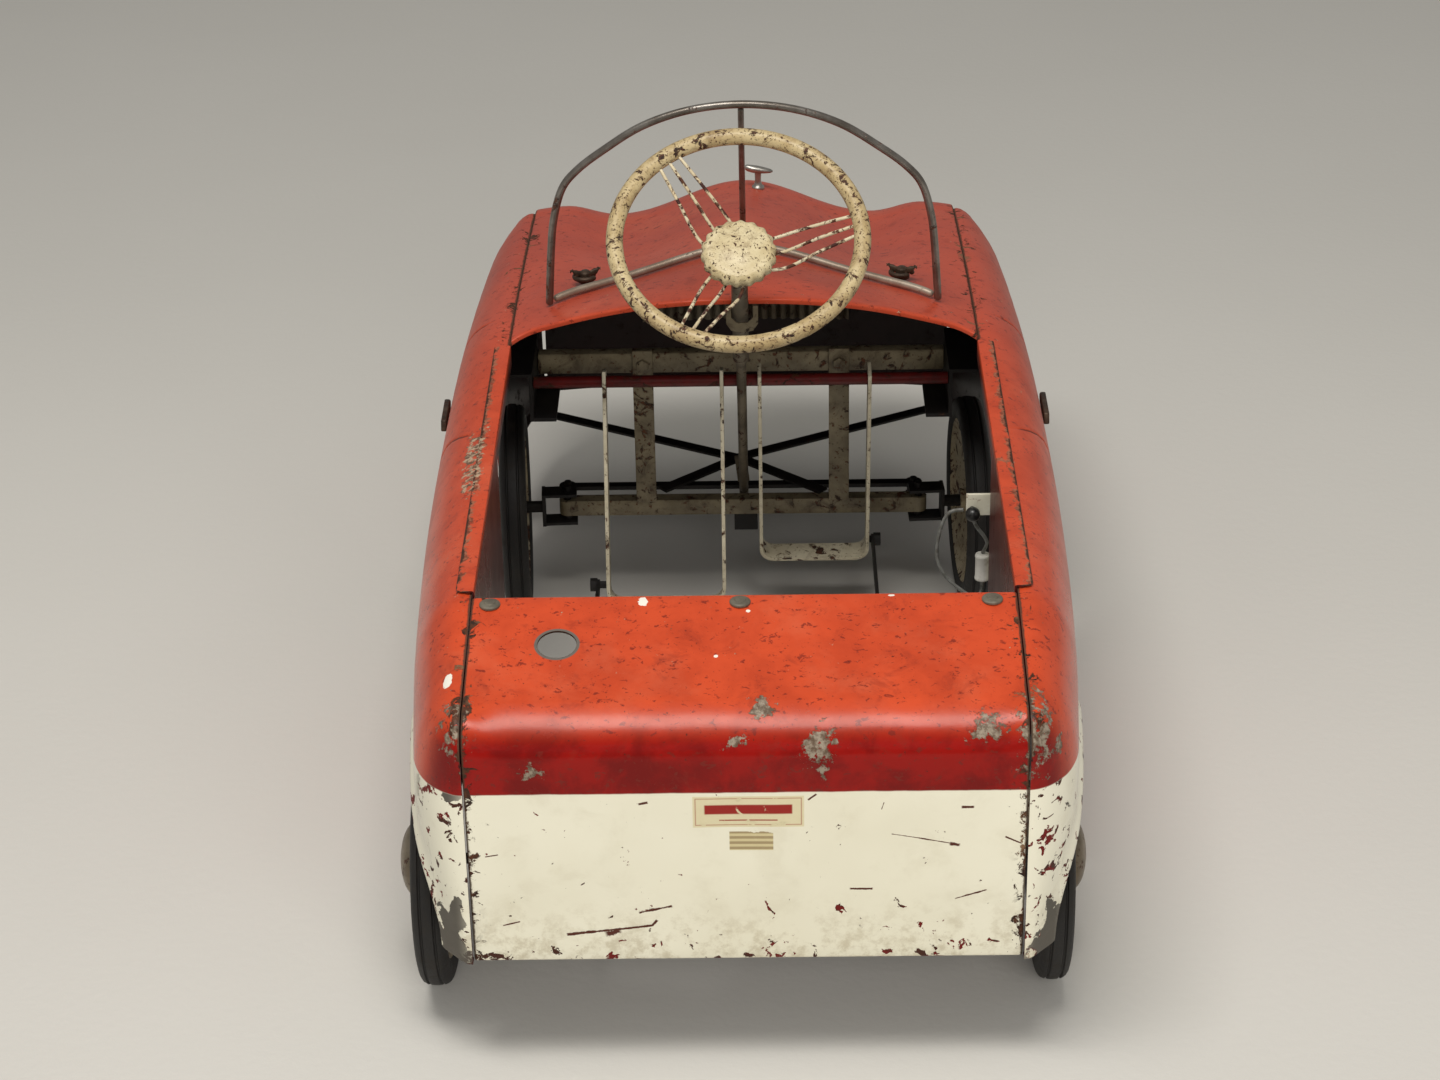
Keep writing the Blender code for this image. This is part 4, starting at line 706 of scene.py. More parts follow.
def chipped_cream(name, base, shade, chip, amount, size, dirt, chip_colour=DARK_RUST):
    """Old cream enamel with dark chips. A higher amount uncovers more, and dirt yellows and browns it."""
    nodes = Finish(name)
    cloud = nodes.noise(38.0, 6.0, 0.62)
    flake = nodes.noise(size, 7.0, 0.66, 0.7, shift=2.0)
    pits = nodes.noise(size * 3.1, 4.0, 0.70, shift=6.0)
    grit = nodes.noise(700.0, 3.0)
    colour = nodes.blend(nodes.rise(cloud, 0.32, 0.68), base, shade)
    stain = nodes.rise(nodes.noise(size * 0.55, 8.0, 0.74, 0.8, shift=8.0), 0.48, 0.72)
    colour = nodes.blend(nodes.times(stain, dirt), colour, chip)
    limit = 0.70 - amount
    big = nodes.rise(flake, limit, limit + 0.022)
    small = nodes.rise(pits, limit + 0.030, limit + 0.060)
    bare = nodes.most(big, small)
    halo = nodes.less(nodes.rise(flake, limit - 0.035, limit), bare)
    colour = nodes.blend(nodes.times(halo, 0.55), colour, chip)
    colour = nodes.blend(bare, colour, nodes.blend(nodes.rise(pits, 0.42, 0.60), chip_colour, RUST))
    height = nodes.add(nodes.times(bare, -0.8), nodes.times(grit, 0.08))
    height = nodes.add(height, nodes.times(cloud, 0.3))
    rough = nodes.add(ENAMEL_ROUGHNESS, nodes.times(bare, 0.35))
    return nodes.finish(colour, rough, bump=height, depth=0.00035)


@shared
def rim_enamel():
    return chipped_cream(
        "rim_enamel", (0.56, 0.45, 0.25), (0.42, 0.31, 0.15), (0.16, 0.088, 0.036), 0.130, 150.0, 0.70
    )


@shared
def boss_enamel():
    return chipped_cream(
        "boss_enamel", (0.66, 0.57, 0.36), (0.52, 0.42, 0.23), (0.20, 0.120, 0.050), 0.110, 190.0, 0.75
    )


@shared
def spoke_enamel():
    return chipped_cream(
        "spoke_enamel",
        (0.70, 0.62, 0.44),
        (0.58, 0.48, 0.30),
        (0.20, 0.08, 0.045),
        0.165,
        75.0,
        0.25,
        (0.045, 0.012, 0.009),
    )


@shared
def frame_cream():
    return chipped_cream(
        "frame_cream", (0.190, 0.155, 0.095), (0.110, 0.088, 0.052), (0.040, 0.024, 0.013), 0.115, 85.0, 0.90
    )


@shared
def pedal_cream():
    return chipped_cream(
        "pedal_cream", (0.60, 0.55, 0.41), (0.46, 0.41, 0.29), (0.14, 0.085, 0.045), 0.105, 120.0, 0.45
    )


@shared
def wheel_cream():
    return chipped_cream(
        "wheel_cream", (0.46, 0.39, 0.25), (0.34, 0.27, 0.16), (0.11, 0.055, 0.024), 0.140, 60.0, 0.80
    )


@shared
def nose_cream():
    return chipped_cream(
        "nose_cream", WHITE_PAINT, (0.70, 0.66, 0.52), (0.30, 0.17, 0.08), 0.060, 70.0, 0.30, OLD_RED
    )


def worn_metal(name, bright, dull, rust_share, roughness, metallic, scale=90.0):
    """Plain or plated steel gone dull, with rust where rust_share lets it through."""
    nodes = Finish(name)
    cloud = nodes.noise(scale * 0.5, 6.0, 0.62)
    blotch = nodes.noise(scale, 8.0, 0.72, 0.5, shift=3.0)
    grain = nodes.noise(scale * 9.0, 3.0, 0.6)
    colour = nodes.blend(nodes.rise(cloud, 0.35, 0.65), bright, dull)
    limit = 0.72 - rust_share
    rust = nodes.rise(blotch, limit, limit + 0.05)
    colour = nodes.blend(rust, colour, nodes.blend(nodes.rise(grain, 0.4, 0.6), RUST, DARK_RUST))
    rough = nodes.add(nodes.add(roughness, nodes.times(grain, 0.12)), nodes.times(rust, 0.30), clamp=True)
    shine = nodes.times(nodes.minus(1.0, rust), metallic)
    height = nodes.add(nodes.times(rust, 0.35), nodes.times(grain, 0.25))
    return nodes.finish(colour, rough, shine, height, 0.0003)


@shared
def rod_steel():
    return worn_metal("rod_steel", (0.28, 0.26, 0.235), (0.15, 0.13, 0.11), 0.16, 0.30, 0.85, 60.0)


@shared
def strip_steel():
    return worn_metal("strip_steel", (0.42, 0.36, 0.29), (0.26, 0.20, 0.15), 0.10, 0.42, 0.55, 60.0)


@shared
def black_steel():
    return worn_metal("black_steel", (0.012, 0.010, 0.009), (0.006, 0.005, 0.005), 0.08, 0.55, 0.15, 80.0)


@shared
def bronze_steel():
    return worn_metal("bronze_steel", (0.085, 0.055, 0.035), (0.035, 0.020, 0.012), 0.17, 0.45, 0.55, 160.0)


@shared
def column_steel():
    return worn_metal("column_steel", (0.22, 0.185, 0.130), (0.11, 0.088, 0.060), 0.17, 0.45, 0.35, 70.0)


@shared
def chrome():
    return worn_metal("dull_chrome", (0.48, 0.46, 0.42), (0.30, 0.285, 0.255), 0.07, 0.30, 0.95, 120.0)


@shared
def cap_metal():
    return worn_metal("cap_metal", (0.25, 0.21, 0.155), (0.14, 0.11, 0.075), 0.17, 0.36, 0.75, 75.0)


@shared
def button_metal():
    return worn_metal("button_metal", (0.170, 0.150, 0.112), (0.105, 0.092, 0.068), 0.08, 0.50, 0.25, 220.0)


@shared
def red_rod():
    return chipped_cream(
        "red_rod", (0.115, 0.007, 0.006), (0.065, 0.006, 0.005), (0.03, 0.01, 0.008), 0.10, 90.0, 0.6
    )


@shared
def tyre_rubber():
    """Perished black rubber, dusty on its tread."""
    nodes = Finish("tyre_rubber")
    cloud = nodes.noise(35.0, 6.0, 0.65)
    crack = nodes.noise(260.0, 5.0, 0.7, 0.9)
    dust = nodes.rise(nodes.noise(55.0, 8.0, 0.74, shift=5.0), 0.46, 0.72)
    colour = nodes.blend(cloud, (0.006, 0.005, 0.005), (0.012, 0.011, 0.010))
    colour = nodes.blend(nodes.times(dust, 0.35), colour, (0.050, 0.040, 0.029))
    height = nodes.add(nodes.times(crack, 0.6), nodes.times(cloud, 0.5))
    return nodes.finish(colour, nodes.add(0.62, nodes.times(dust, 0.25)), bump=height, depth=0.0005)


@shared
def battery_case():
    nodes = Finish("battery_case")
    dirt = nodes.rise(nodes.noise(120.0, 7.0, 0.7), 0.48, 0.72)
    colour = nodes.blend(nodes.times(dirt, 0.5), (0.74, 0.72, 0.66), (0.36, 0.32, 0.25))
    return nodes.finish(
        colour, nodes.add(0.34, nodes.times(dirt, 0.3)), bump=nodes.noise(500.0, 3.0), depth=0.0001
    )


@shared
def knob_plastic():
    nodes = Finish("knob_plastic")
    dust = nodes.rise(nodes.noise(300.0, 6.0, 0.7), 0.45, 0.72)
    colour = nodes.blend(nodes.times(dust, 0.4), (0.012, 0.012, 0.012), (0.060, 0.054, 0.046))
    return nodes.finish(
        colour, nodes.add(0.28, nodes.times(dust, 0.35)), bump=nodes.noise(600.0, 3.0), depth=0.0001
    )


@shared
def wire_cover():
    nodes = Finish("wire_cover")
    dirt = nodes.noise(160.0, 6.0, 0.7)
    colour = nodes.blend(nodes.rise(dirt, 0.40, 0.68), (0.23, 0.235, 0.22), (0.10, 0.095, 0.08))
    return nodes.finish(
        colour, nodes.add(0.42, nodes.times(dirt, 0.2)), bump=nodes.noise(700.0, 3.0), depth=0.0001
    )


# Meshes


def placed(name, mesh, finishes_used, body, slot, *replaced):
    """Puts a mesh given in the drawing frame into the scene as a piece."""
    mesh.transform(Matrix.Translation(DRAWING_SHIFT))
    mesh.update()
    piece = bpy.data.objects.new(name, mesh)
    bpy.context.scene.collection.objects.link(piece)
    for made in finishes_used:
        mesh.materials.append(made)
    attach(piece, body)
    if replaced:
        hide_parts(*replaced)
    return piece


def mesh_of(points, faces, smooth_angle=35.0, indices=None):
    """A closed mesh whose faces look outwards."""
    mesh = bpy.data.meshes.new("mesh")
    build = bmesh.new()
    corners = [build.verts.new(point) for point in points]
    for number, face in enumerate(faces):
        made = build.faces.new([corners[index] for index in face])
        if indices:
            made.material_index = indices[number]
    bmesh.ops.recalc_face_normals(build, faces=build.faces)
    build.to_mesh(mesh)
    build.free()
    mesh.shade_smooth()
    mesh.set_sharp_from_angle(angle=math.radians(smooth_angle))
    return mesh


def set_measure(mesh, name, values):
    layer = mesh.attributes.new(name, "FLOAT", "POINT")
    layer.data.foreach_set("value", np.array(values, np.float32))


def sheet_mesh(grid, inwards, measures=None):
    """A closed sheet under a grid of outside points. Its second material is on the inside and the edges."""
    grid = np.array(grid, float)
    normals = np.cross(np.gradient(grid, axis=0), np.gradient(grid, axis=1))
    normals /= np.linalg.norm(normals, axis=2, keepdims=True)
    towards = np.sum(normals * (np.array(inwards) - grid), axis=2).mean()
    inner = grid + normals * SHEET * (1.0 if towards > 0.0 else -1.0)
    rows, columns = grid.shape[:2]
    layer_size = rows * columns
    points = np.concatenate([grid.reshape(-1, 3), inner.reshape(-1, 3)])

    def at(row, column, layer):
        return layer * layer_size + row * columns + column

    faces, indices = [], []
    for layer in (0, 1):
        for row in range(rows - 1):
            for column in range(columns - 1):
                corners = ((row, column), (row, column + 1), (row + 1, column + 1), (row + 1, column))
                faces.append(tuple(at(r, c, layer) for r, c in corners))
                indices.append(layer)
    edge = [(0, column) for column in range(columns)]
    edge += [(row, columns - 1) for row in range(1, rows)]
    edge += [(rows - 1, column) for column in range(columns - 2, -1, -1)]
    edge += [(row, 0) for row in range(rows - 2, 0, -1)]
    for start, end in zip(edge, edge[1:] + edge[:1]):
        faces.append((at(*start, 0), at(*end, 0), at(*end, 1), at(*start, 1)))
        indices.append(1)
    mesh = mesh_of([tuple(point) for point in points], faces, SHEET_CREASE, indices)
    for name, default in (("seam", 1.0), ("foot", 1.0), ("crack", 1.0), ("groove", 0.0), ("shade", 0.0)):
        values = np.array((measures or {}).get(name, np.full((rows, columns), default)), float).reshape(-1)
        set_measure(mesh, name, np.concatenate([values, values]))
    return mesh


def turned_mesh(profile, count=64, axis="Z", smooth_angle=35.0):
    """A profile of (radius, height) pairs turned about an axis. A radius of 0 closes the end."""
    points, rings = [], []
    for radius, height in profile:
        if radius == 0.0:
            rings.append([len(points)])
            points.append((0.0, 0.0, height))
            continue
        rings.append(list(range(len(points), len(points) + count)))
        for step in range(count):
            angle = TAU * step / count
            points.append((radius * math.cos(angle), radius * math.sin(angle), height))
    pairs = list(zip(rings, rings[1:]))
    if len(rings[0]) > 1:
        pairs.append((rings[-1], rings[0]))
    faces = []
    for low, high in pairs:
        for step in range(count):
            after = (step + 1) % count
            if len(low) == 1:
                faces.append((low[0], high[after], high[step]))
            elif len(high) == 1:
                faces.append((low[step], low[after], high[0]))
            else:
                faces.append((low[step], low[after], high[after], high[step]))
    if axis == "X":
        points = [(z, x, y) for x, y, z in points]
    elif axis == "Y":
        points = [(y, z, x) for x, y, z in points]
    return mesh_of(points, faces, smooth_angle)


def tube_mesh(path, radius, count=16):
    """A round rod swept along a path, with ends that round off."""
    path = [Vector(point) for point in path]
    radii = [radius] * len(path)
    turns = [math.radians(turn) for turn in ROUND_END_TURNS]
    for end, step in ((0, 1), (-1, -1)):
        inward = (path[end + step] - path[end]).normalized()
        tips = [path[end] + inward * radius * (1.0 - math.cos(turn)) for turn in turns]
        sizes = [radius * math.sin(turn) for turn in turns]
        if end == 0:
            path, radii = tips + path[1:], sizes + radii[1:]
        else:
            path, radii = path[:-1] + tips[::-1], radii[:-1] + sizes[::-1]
    points, side = [], None
    last = len(path) - 1
    for index, point in enumerate(path):
        before = (point - path[index - 1]).normalized() if index else None
        after = (path[index + 1] - point).normalized() if index < last else None
        along = ((before or after) + (after or before)).normalized()
        side = side if side is not None else along.orthogonal()
        side = (side - along * side.dot(along)).normalized()
        other = along.cross(side)
        for step in range(count):
            angle = TAU * (step + 0.5) / count
            points.append(point + (side * math.cos(angle) + other * math.sin(angle)) * radii[index])
    faces = [tuple(range(count)), tuple(range(len(points) - 1, len(points) - count - 1, -1))]
    for level in range(last):
        low, high = level * count, (level + 1) * count
        for step in range(count):
            after = (step + 1) % count
            faces.append((low + step, low + after, high + after, high + step))
    return mesh_of([tuple(point) for point in points], faces, 60.0)


def joined(meshes, smooth_angle=40.0):
    """Several meshes as one."""
    build = bmesh.new()
    for mesh in meshes:
        build.from_mesh(mesh)
    result = bpy.data.meshes.new("mesh")
    build.to_mesh(result)
    build.free()
    result.shade_smooth()
    result.set_sharp_from_angle(angle=math.radians(smooth_angle))
    return result


def cut(mesh, cutter):
    """The mesh with the cutter's shape taken out of it."""
    scene = bpy.context.scene.collection
    owner = bpy.data.objects.new("cut_owner", mesh)
    helper = bpy.data.objects.new("cut_helper", cutter)
    scene.objects.link(owner)
    scene.objects.link(helper)
    change = owner.modifiers.new("cut", "BOOLEAN")
    change.operation = "DIFFERENCE"
    change.solver = "EXACT"
    change.object = helper
    bpy.context.view_layer.update()
    graph = bpy.context.evaluated_depsgraph_get()
    result = bpy.data.meshes.new_from_object(owner.evaluated_get(graph))
    bpy.data.objects.remove(owner)
    bpy.data.objects.remove(helper)
    sides = [face.material_index for face in result.polygons]
    result.materials.clear()
    result.polygons.foreach_set("material_index", sides)
    result.set_sharp_from_angle(angle=math.radians(40.0))
    return result


# The body's surfaces, as in the CAD


def seam_z(y):
    """Height of the long pinched seam between the side panels and the bonnet and deck."""
    if y < SEAM_CREST_Y:
        fall = 1.0 - quarter(y - TAIL_Y, SEAM_CREST_Y - TAIL_Y)
        return SEAM_CREST_Z - SEAM_TAIL_DROP * fall
    if y < DECK_FRONT_Y:
        return mix(SEAM_CREST_Z, SEAM_DECK_Z, (y - SEAM_CREST_Y) / (DECK_FRONT_Y - SEAM_CREST_Y))
    if y < SEAM_COWL_Y:
        return mix(SEAM_DECK_Z, SEAM_COWL_Z, (y - DECK_FRONT_Y) / (SEAM_COWL_Y - DECK_FRONT_Y))
    level = mix(SEAM_COWL_Z, SEAM_WING_Z, ((y - SEAM_COWL_Y) / (SEAM_WING_Y - SEAM_COWL_Y)) ** 1.5)
    if y < SEAM_WING_Y:
        return level
    return SEAM_WING_Z - SEAM_NOSE_DROP * (1.0 - quarter(NOSE_Y - y, NOSE_Y - SEAM_WING_Y))


def half_width(y):
    narrowing = REAR_NARROWING if y < WIDEST_Y else FRONT_NARROWING
    return WIDEST_HALF - narrowing * (y - WIDEST_Y) ** 2


def arch_distance(y, z):
    rear = math.hypot(y - REAR_AXLE_Y, z - AXLE_Z) - REAR_ARCH_RADIUS
    front = math.hypot(y - FRONT_AXLE_Y, z - AXLE_Z) - FRONT_ARCH_RADIUS
    return min(abs(rear), abs(front))


def side_x(y, z):
    """Distance of the side skin from the body's middle plane."""
    tuck = SIDE_TUCK * ease((TUCK_FROM_Z - z) / (TUCK_FROM_Z - TAIL_SILL_Z))
    full = half_width(y) - SEAM_X - tuck
    rounding = quarter(seam_z(y) - z, SHOULDER_DEPTH)
    rounding *= quarter(y - TAIL_Y, TAIL_CORNER) * quarter(NOSE_Y - y, NOSE_CORNER)
    flare = ARCH_FLARE * ease(1.0 - arch_distance(y, z) / ARCH_FLARE_REACH)
    return SEAM_X + full * rounding + flare * ease(rounding)


def sill_z(y):
    if y < REAR_AXLE_Y:
        return TAIL_SILL_Z
    if y < FRONT_AXLE_Y:
        return MID_SILL_Z
    return NOSE_SILL_Z


def arch_z(y):
    """Height of the side panel's lower edge."""
    for centre, radius in ((REAR_AXLE_Y, REAR_ARCH_RADIUS), (FRONT_AXLE_Y, FRONT_ARCH_RADIUS)):
        if abs(y - centre) < radius - 1e-6:
            return AXLE_Z + math.sqrt(radius**2 - (y - centre) ** 2)
    return sill_z(y)


def bonnet_centre_z(y):
    share = (y - COWL_CENTRE_Y) / (SEAM_WING_Y - COWL_CENTRE_Y)
    return mix(COWL_CENTRE_Z, BONNET_END_Z, share**1.25 if share > 0.0 else share)


def bonnet_z(x, y):
    """Height of the bonnet: an arch at the cowl, a central bulge between wing tops at the nose."""
    edge = seam_z(min(y, SEAM_WING_Y))
    crown = bonnet_centre_z(y) - edge
    arch = 1.0 - (abs(x) / SEAM_X) ** 2.2
    forward = ease((y - COWL_CENTRE_Y) / BULGE_REACH)
    return edge + mix(crown * arch, nose_height(abs(x), crown), forward)


def nose_height(x, crown):
    """Height above the seam at the front: the central bulge, a valley, and the wing's crown."""
    if x < BULGE_HALF:
        return mix(-VALLEY_DEPTH, crown, 0.5 + 0.5 * math.cos(math.pi * x / BULGE_HALF))
    if x < WING_CROWN_X:
        return mix(-VALLEY_DEPTH, WING_CROWN, ease((x - BULGE_HALF) / (WING_CROWN_X - BULGE_HALF)))
    return WING_CROWN * (1.0 - ((x - WING_CROWN_X) / (SEAM_X - WING_CROWN_X)) ** 2)


def cowl_y(x):
    """The bonnet's rear edge, bowed back in the middle and swept back again at its corners."""
    corner = max(1.0 - (SEAM_X - abs(x)) / COWL_CORNER_REACH, 0.0)
    return mix(COWL_CENTRE_Y, SEAM_COWL_Y, (abs(x) / SEAM_X) ** 2) - COWL_CORNER_SWEEP * corner**2


def nose_y(x):
    return mix(BONNET_NOSE_Y, NOSE_Y, (abs(x) / SEAM_X) ** 2)


def screen_base_y(x):
    return mix(SCREEN_CENTRE_Y, SCREEN_BASE_Y, (abs(x) / SCREEN_BASE_X) ** 1.7)


# Body panels


def side_stations():
    """Places along the car for the side panel's columns, closest at the arches, corners and door lines."""
    found = [TAIL_Y + TAIL_CORNER * (1.0 - math.cos(math.radians(turn))) * 0.36 for turn in range(0, 91, 10)]
    for centre, radius in ((REAR_AXLE_Y, REAR_ARCH_RADIUS), (FRONT_AXLE_Y, FRONT_ARCH_RADIUS)):
        found += [centre + radius * math.sin(math.radians(turn)) for turn in range(-90, 91, 5)]
    found += steps(REAR_AXLE_Y + REAR_ARCH_RADIUS + 0.008, FRONT_AXLE_Y - FRONT_ARCH_RADIUS - 0.008, 22)
    found += [NOSE_Y - NOSE_CORNER * (1.0 - math.sin(math.radians(turn))) for turn in range(8, 91, 6)]
    for line in DOOR_LINES:
        found = [y for y in found if abs(y - line) > 0.0060] + [line]
        for offset in (0.0007, 0.0014, 0.0021, 0.0028, 0.0060):
            found += [line - offset, line + offset]
    return sorted(found)


def door_lean(y, z):
    """How far the door's shut lines bend rearwards near the shoulder, for a point beside one of them."""
    low, high = DOOR_LEAN_Z
    moved = 0.0
    for line, lean in zip(DOOR_LINES, DOOR_LEAN):
        beside = ease(1.0 - abs(y - line) / 0.055)
        moved += lean * beside * max(z - low, 0.0) ** 1.5 / (high - low) ** 1.5
    return moved


def side_column(y, sign):
    """One column of a side panel, from the seam down to the in-turned lip, with its wear measures."""
    low = arch_z(y)
    depth = seam_z(y) - low
    shoulder = min(SHOULDER_DEPTH, 0.55 * depth)
    drops = [
        shoulder * (1.0 - math.cos(math.radians(turn)))
        for turn in (0, 6, 12, 20, 28, 37, 46, 55, 64, 73, 82, 90)
    ]
    flare_drop = max(depth - ARCH_FLARE_REACH, mix(shoulder, depth, 0.4))
    drops += [mix(shoulder, flare_drop, share) for share in (0.2, 0.4, 0.6, 0.8, 1.0)]
    drops += [mix(flare_drop, depth - ROLL, share) for share in (0.25, 0.5, 0.75, 1.0)]
    points, seam, groove = [], [], []
    for drop in drops:
        place_y = y + door_lean(y, seam_z(y) - drop)
        z = seam_z(place_y) - drop
        into = min(min(abs(y - line) for line in DOOR_LINES) / DOOR_GROOVE_HALF, 1.0)
        fade = ease((drop - 0.003) / 0.007) if abs(y) < 0.3 else 0.0
        dip = (1.0 - ease(into)) * fade
        x = side_x(place_y, z) - DOOR_GROOVE * dip
        rounding = SEAM_ROUND * (1.0 - quarter(drop, SEAM_ROUND))
        points.append(Vector((BODY_X + sign * x, place_y, z - rounding)))
        seam.append(math.hypot(x - SEAM_X, drop))
        groove.append(dip)
    roll_from = points[-1]
    inward = lip_direction(y, low, sign)
    for turn in (30, 60, 90):
        angle = math.radians(turn)
        drop = Vector((0.0, 0.0, -ROLL * math.sin(angle)))
        points.append(roll_from + inward * ROLL * (1.0 - math.cos(angle)) + drop)
    points.append(points[-1] + inward * (LIP - ROLL))
    seam += [1.0] * 4
    groove += [0.0] * 4
    foot = [max(point.z - low, 0.0) for point in points]
    return points, seam, groove, foot


def lip_direction(y, z, sign):
    """Level and square to the skin, towards the inside."""
    reach = 0.002
    slope = (side_x(y + reach, z) - side_x(y - reach, z)) / (2.0 * reach)
    if y - TAIL_Y < reach:
        return Vector((0.0, 1.0, 0.0))
    if NOSE_Y - y < reach:
        return Vector((0.0, -1.0, 0.0))
    return Vector((-sign, slope, 0.0)).normalized()


def make_side_panel(side, sign):
    columns = [side_column(y, sign) for y in side_stations()]
    grid = [[tuple(point) for point in column[0]] for column in columns]
    measures = {
        "seam": [c[1] for c in columns], "groove": [c[2] for c in columns], "foot": [c[3] for c in columns]
    }
    mesh = sheet_mesh(grid, (BODY_X, 0.0, 0.15), measures=measures)
    name = f"side_panel_{side}"
    placed(name + "_skin", mesh, (body_paint(), inner_paint()), "body", "orange_paint", name)


def bonnet_widths():
    edge = SEAM_X - GAP
    right = [edge - inset for inset in (0.004, SEAM_ROUND, 0.0009, 0.0004, 0.0)]
    return [-x for x in reversed(right)] + steps(-0.178, 0.178, 64) + right


def make_bonnet():
    grid, seam = [], []
    for x in bonnet_widths():
        from_edge = SEAM_X - GAP - abs(x)
        rounding = SEAM_ROUND * (1.0 - quarter(from_edge, SEAM_ROUND))
        start = cowl_y(x)
        column = [Vector((x, start + 0.0006, bonnet_z(x, start) - COWL_LIP))]
        for turn in (0, 30, 60, 90):
            angle = math.radians(turn)
            fall = 0.0018 * (1.0 - math.sin(angle))
            column.append(Vector((x, start + 0.0018 * (1.0 - math.cos(angle)), bonnet_z(x, start) - fall)))
        for share in steps(0.02, 1.0, 44):
            y = mix(start, SEAM_WING_Y, share)
            column.append(Vector((x, y, bonnet_z(x, y))))
        top = bonnet_z(x, SEAM_WING_Y)
        for turn in range(6, 91, 6):
            angle = math.radians(turn)
            y = mix(SEAM_WING_Y, nose_y(x), math.sin(angle))
            z = top - (top - BONNET_LIP_Z - 0.006) * (1.0 - math.cos(angle))
            column.append(Vector((x, y, z)))
        column.append(Vector((x, nose_y(x), BONNET_LIP_Z)))
        grid.append([(p.x + BODY_X, p.y, p.z - rounding) for p in column])
        seam.append([from_edge] * len(column))
    mesh = sheet_mesh(grid, (BODY_X, 0.2, 0.10), measures={"seam": seam})
    room = COLUMN_RADIUS + 0.0012
    notch = turned_mesh([(0.0, -0.130), (room, -0.130), (room, -0.040), (0.0, -0.040)], 32)
    notch.transform(column_matrix())
    placed("bonnet_skin", cut(mesh, notch), (body_paint(), inner_paint()), "body", "orange_paint", "bonnet")


def make_nose():
    """The nose panel with its opening, and the pleated grille behind it."""
    grid = []
    for x in steps(-SEAM_X, SEAM_X, 60):
        side, front = BODY_X + x * NOSE_PANEL_SCALE, nose_y(x)
        column = [(side, front - 0.012, BONNET_LIP_Z - 0.004), (side, front - 0.0015, BONNET_LIP_Z - 0.004)]
        column.append((side, front, BONNET_LIP_Z - 0.0055))
        column += [(side, front, z) for z in steps(0.2230, NOSE_PANEL_BOTTOM + 0.004, 28)]
        for turn in (30, 60, 90):
            angle = math.radians(turn)
            drop = 0.004 * math.sin(angle)
            column.append((side, front - 0.004 * (1.0 - math.cos(angle)), NOSE_PANEL_BOTTOM + 0.004 - drop))
        column.append((side, front - 0.015, NOSE_PANEL_BOTTOM))
        grid.append(column)
    mesh = sheet_mesh(grid, (BODY_X, 0.2, 0.18))
    low = (BODY_X - GRILLE_HALF, NOSE_Y - 0.010, GRILLE_LOW_Z)
    high = (BODY_X + GRILLE_HALF, NOSE_Y + 0.04, GRILLE_HIGH_Z)
    panel = cut(mesh, rounded_box(low, high, 0.007))
    paints = (nose_cream(), inner_paint())
    placed("nose_panel_skin", panel, paints, "body", "cream_paint", "nose_panel")
    pleats = 22
    half = GRILLE_HALF + 0.007
    grid = []
    for step in range(8 * pleats + 1):
        x = mix(-half, half, step / (8 * pleats))
        wave = 0.5 - 0.5 * math.cos(TAU * step / 8)
        depth = nose_y(x) - 0.0085 + 0.004 * wave
        grid.append([(BODY_X + x, depth, z) for z in steps(GRILLE_LOW_Z - 0.007, GRILLE_HIGH_Z + 0.007, 4)])
    mesh = sheet_mesh(grid, (BODY_X, 0.2, 0.17))
    placed("grille_skin", mesh, (cap_metal(), cap_metal()), "body", "bright_steel", "grille")


def rounded_box(low, high, radius):
    """A box along Y whose four long edges are round."""
    outline = []
    corners = [(high[0], high[2]), (low[0], high[2]), (low[0], low[2]), (high[0], low[2])]
    for first, (x, z) in zip((0, 90, 180, 270), corners):
        inset_x = x - math.copysign(radius, x - (low[0] + high[0]) / 2.0)
        inset_z = z - math.copysign(radius, z - (low[2] + high[2]) / 2.0)
        for step in range(7):
            angle = math.radians(first + 15.0 * step)
            outline.append((inset_x + radius * math.cos(angle), inset_z + radius * math.sin(angle)))
    count = len(outline)
    points = [(x, y, z) for y in (low[1], high[1]) for x, z in outline]
    faces = [tuple(range(count)), tuple(range(2 * count - 1, count - 1, -1))]
    faces += [(step, (step + 1) % count, count + (step + 1) % count, count + step) for step in range(count)]
    return mesh_of(points, faces)


def make_headlight(side, sign):
    lamp_x, radius = 0.132, 0.026
    centre = Vector((BODY_X + sign * lamp_x, nose_y(lamp_x - radius) + GAP, 0.180))
    rim = [(0.0, 0.0), (radius, 0.0), (radius, 0.0030), (radius - 0.0008, 0.0042), (radius - 0.0022, 0.0052)]
    rim += [(radius - 0.0042, 0.0054), (radius - 0.0052, 0.0046)]
    lens = [(radius - 0.0054, 0.0046)]
    for turn in range(0, 90, 10):
        angle = math.radians(turn)
        lens.append(((radius - 0.0056) * math.cos(angle), 0.0050 + 0.0068 * math.sin(angle)))
    mesh = turned_mesh(rim + lens + [(0.0, 0.0118)], 64, "Y")
    mesh.transform(Matrix.Translation(centre))
    placed(f"headlight_{side}_lamp", mesh, (chrome(),), "body", "bright_steel", f"headlight_{side}")


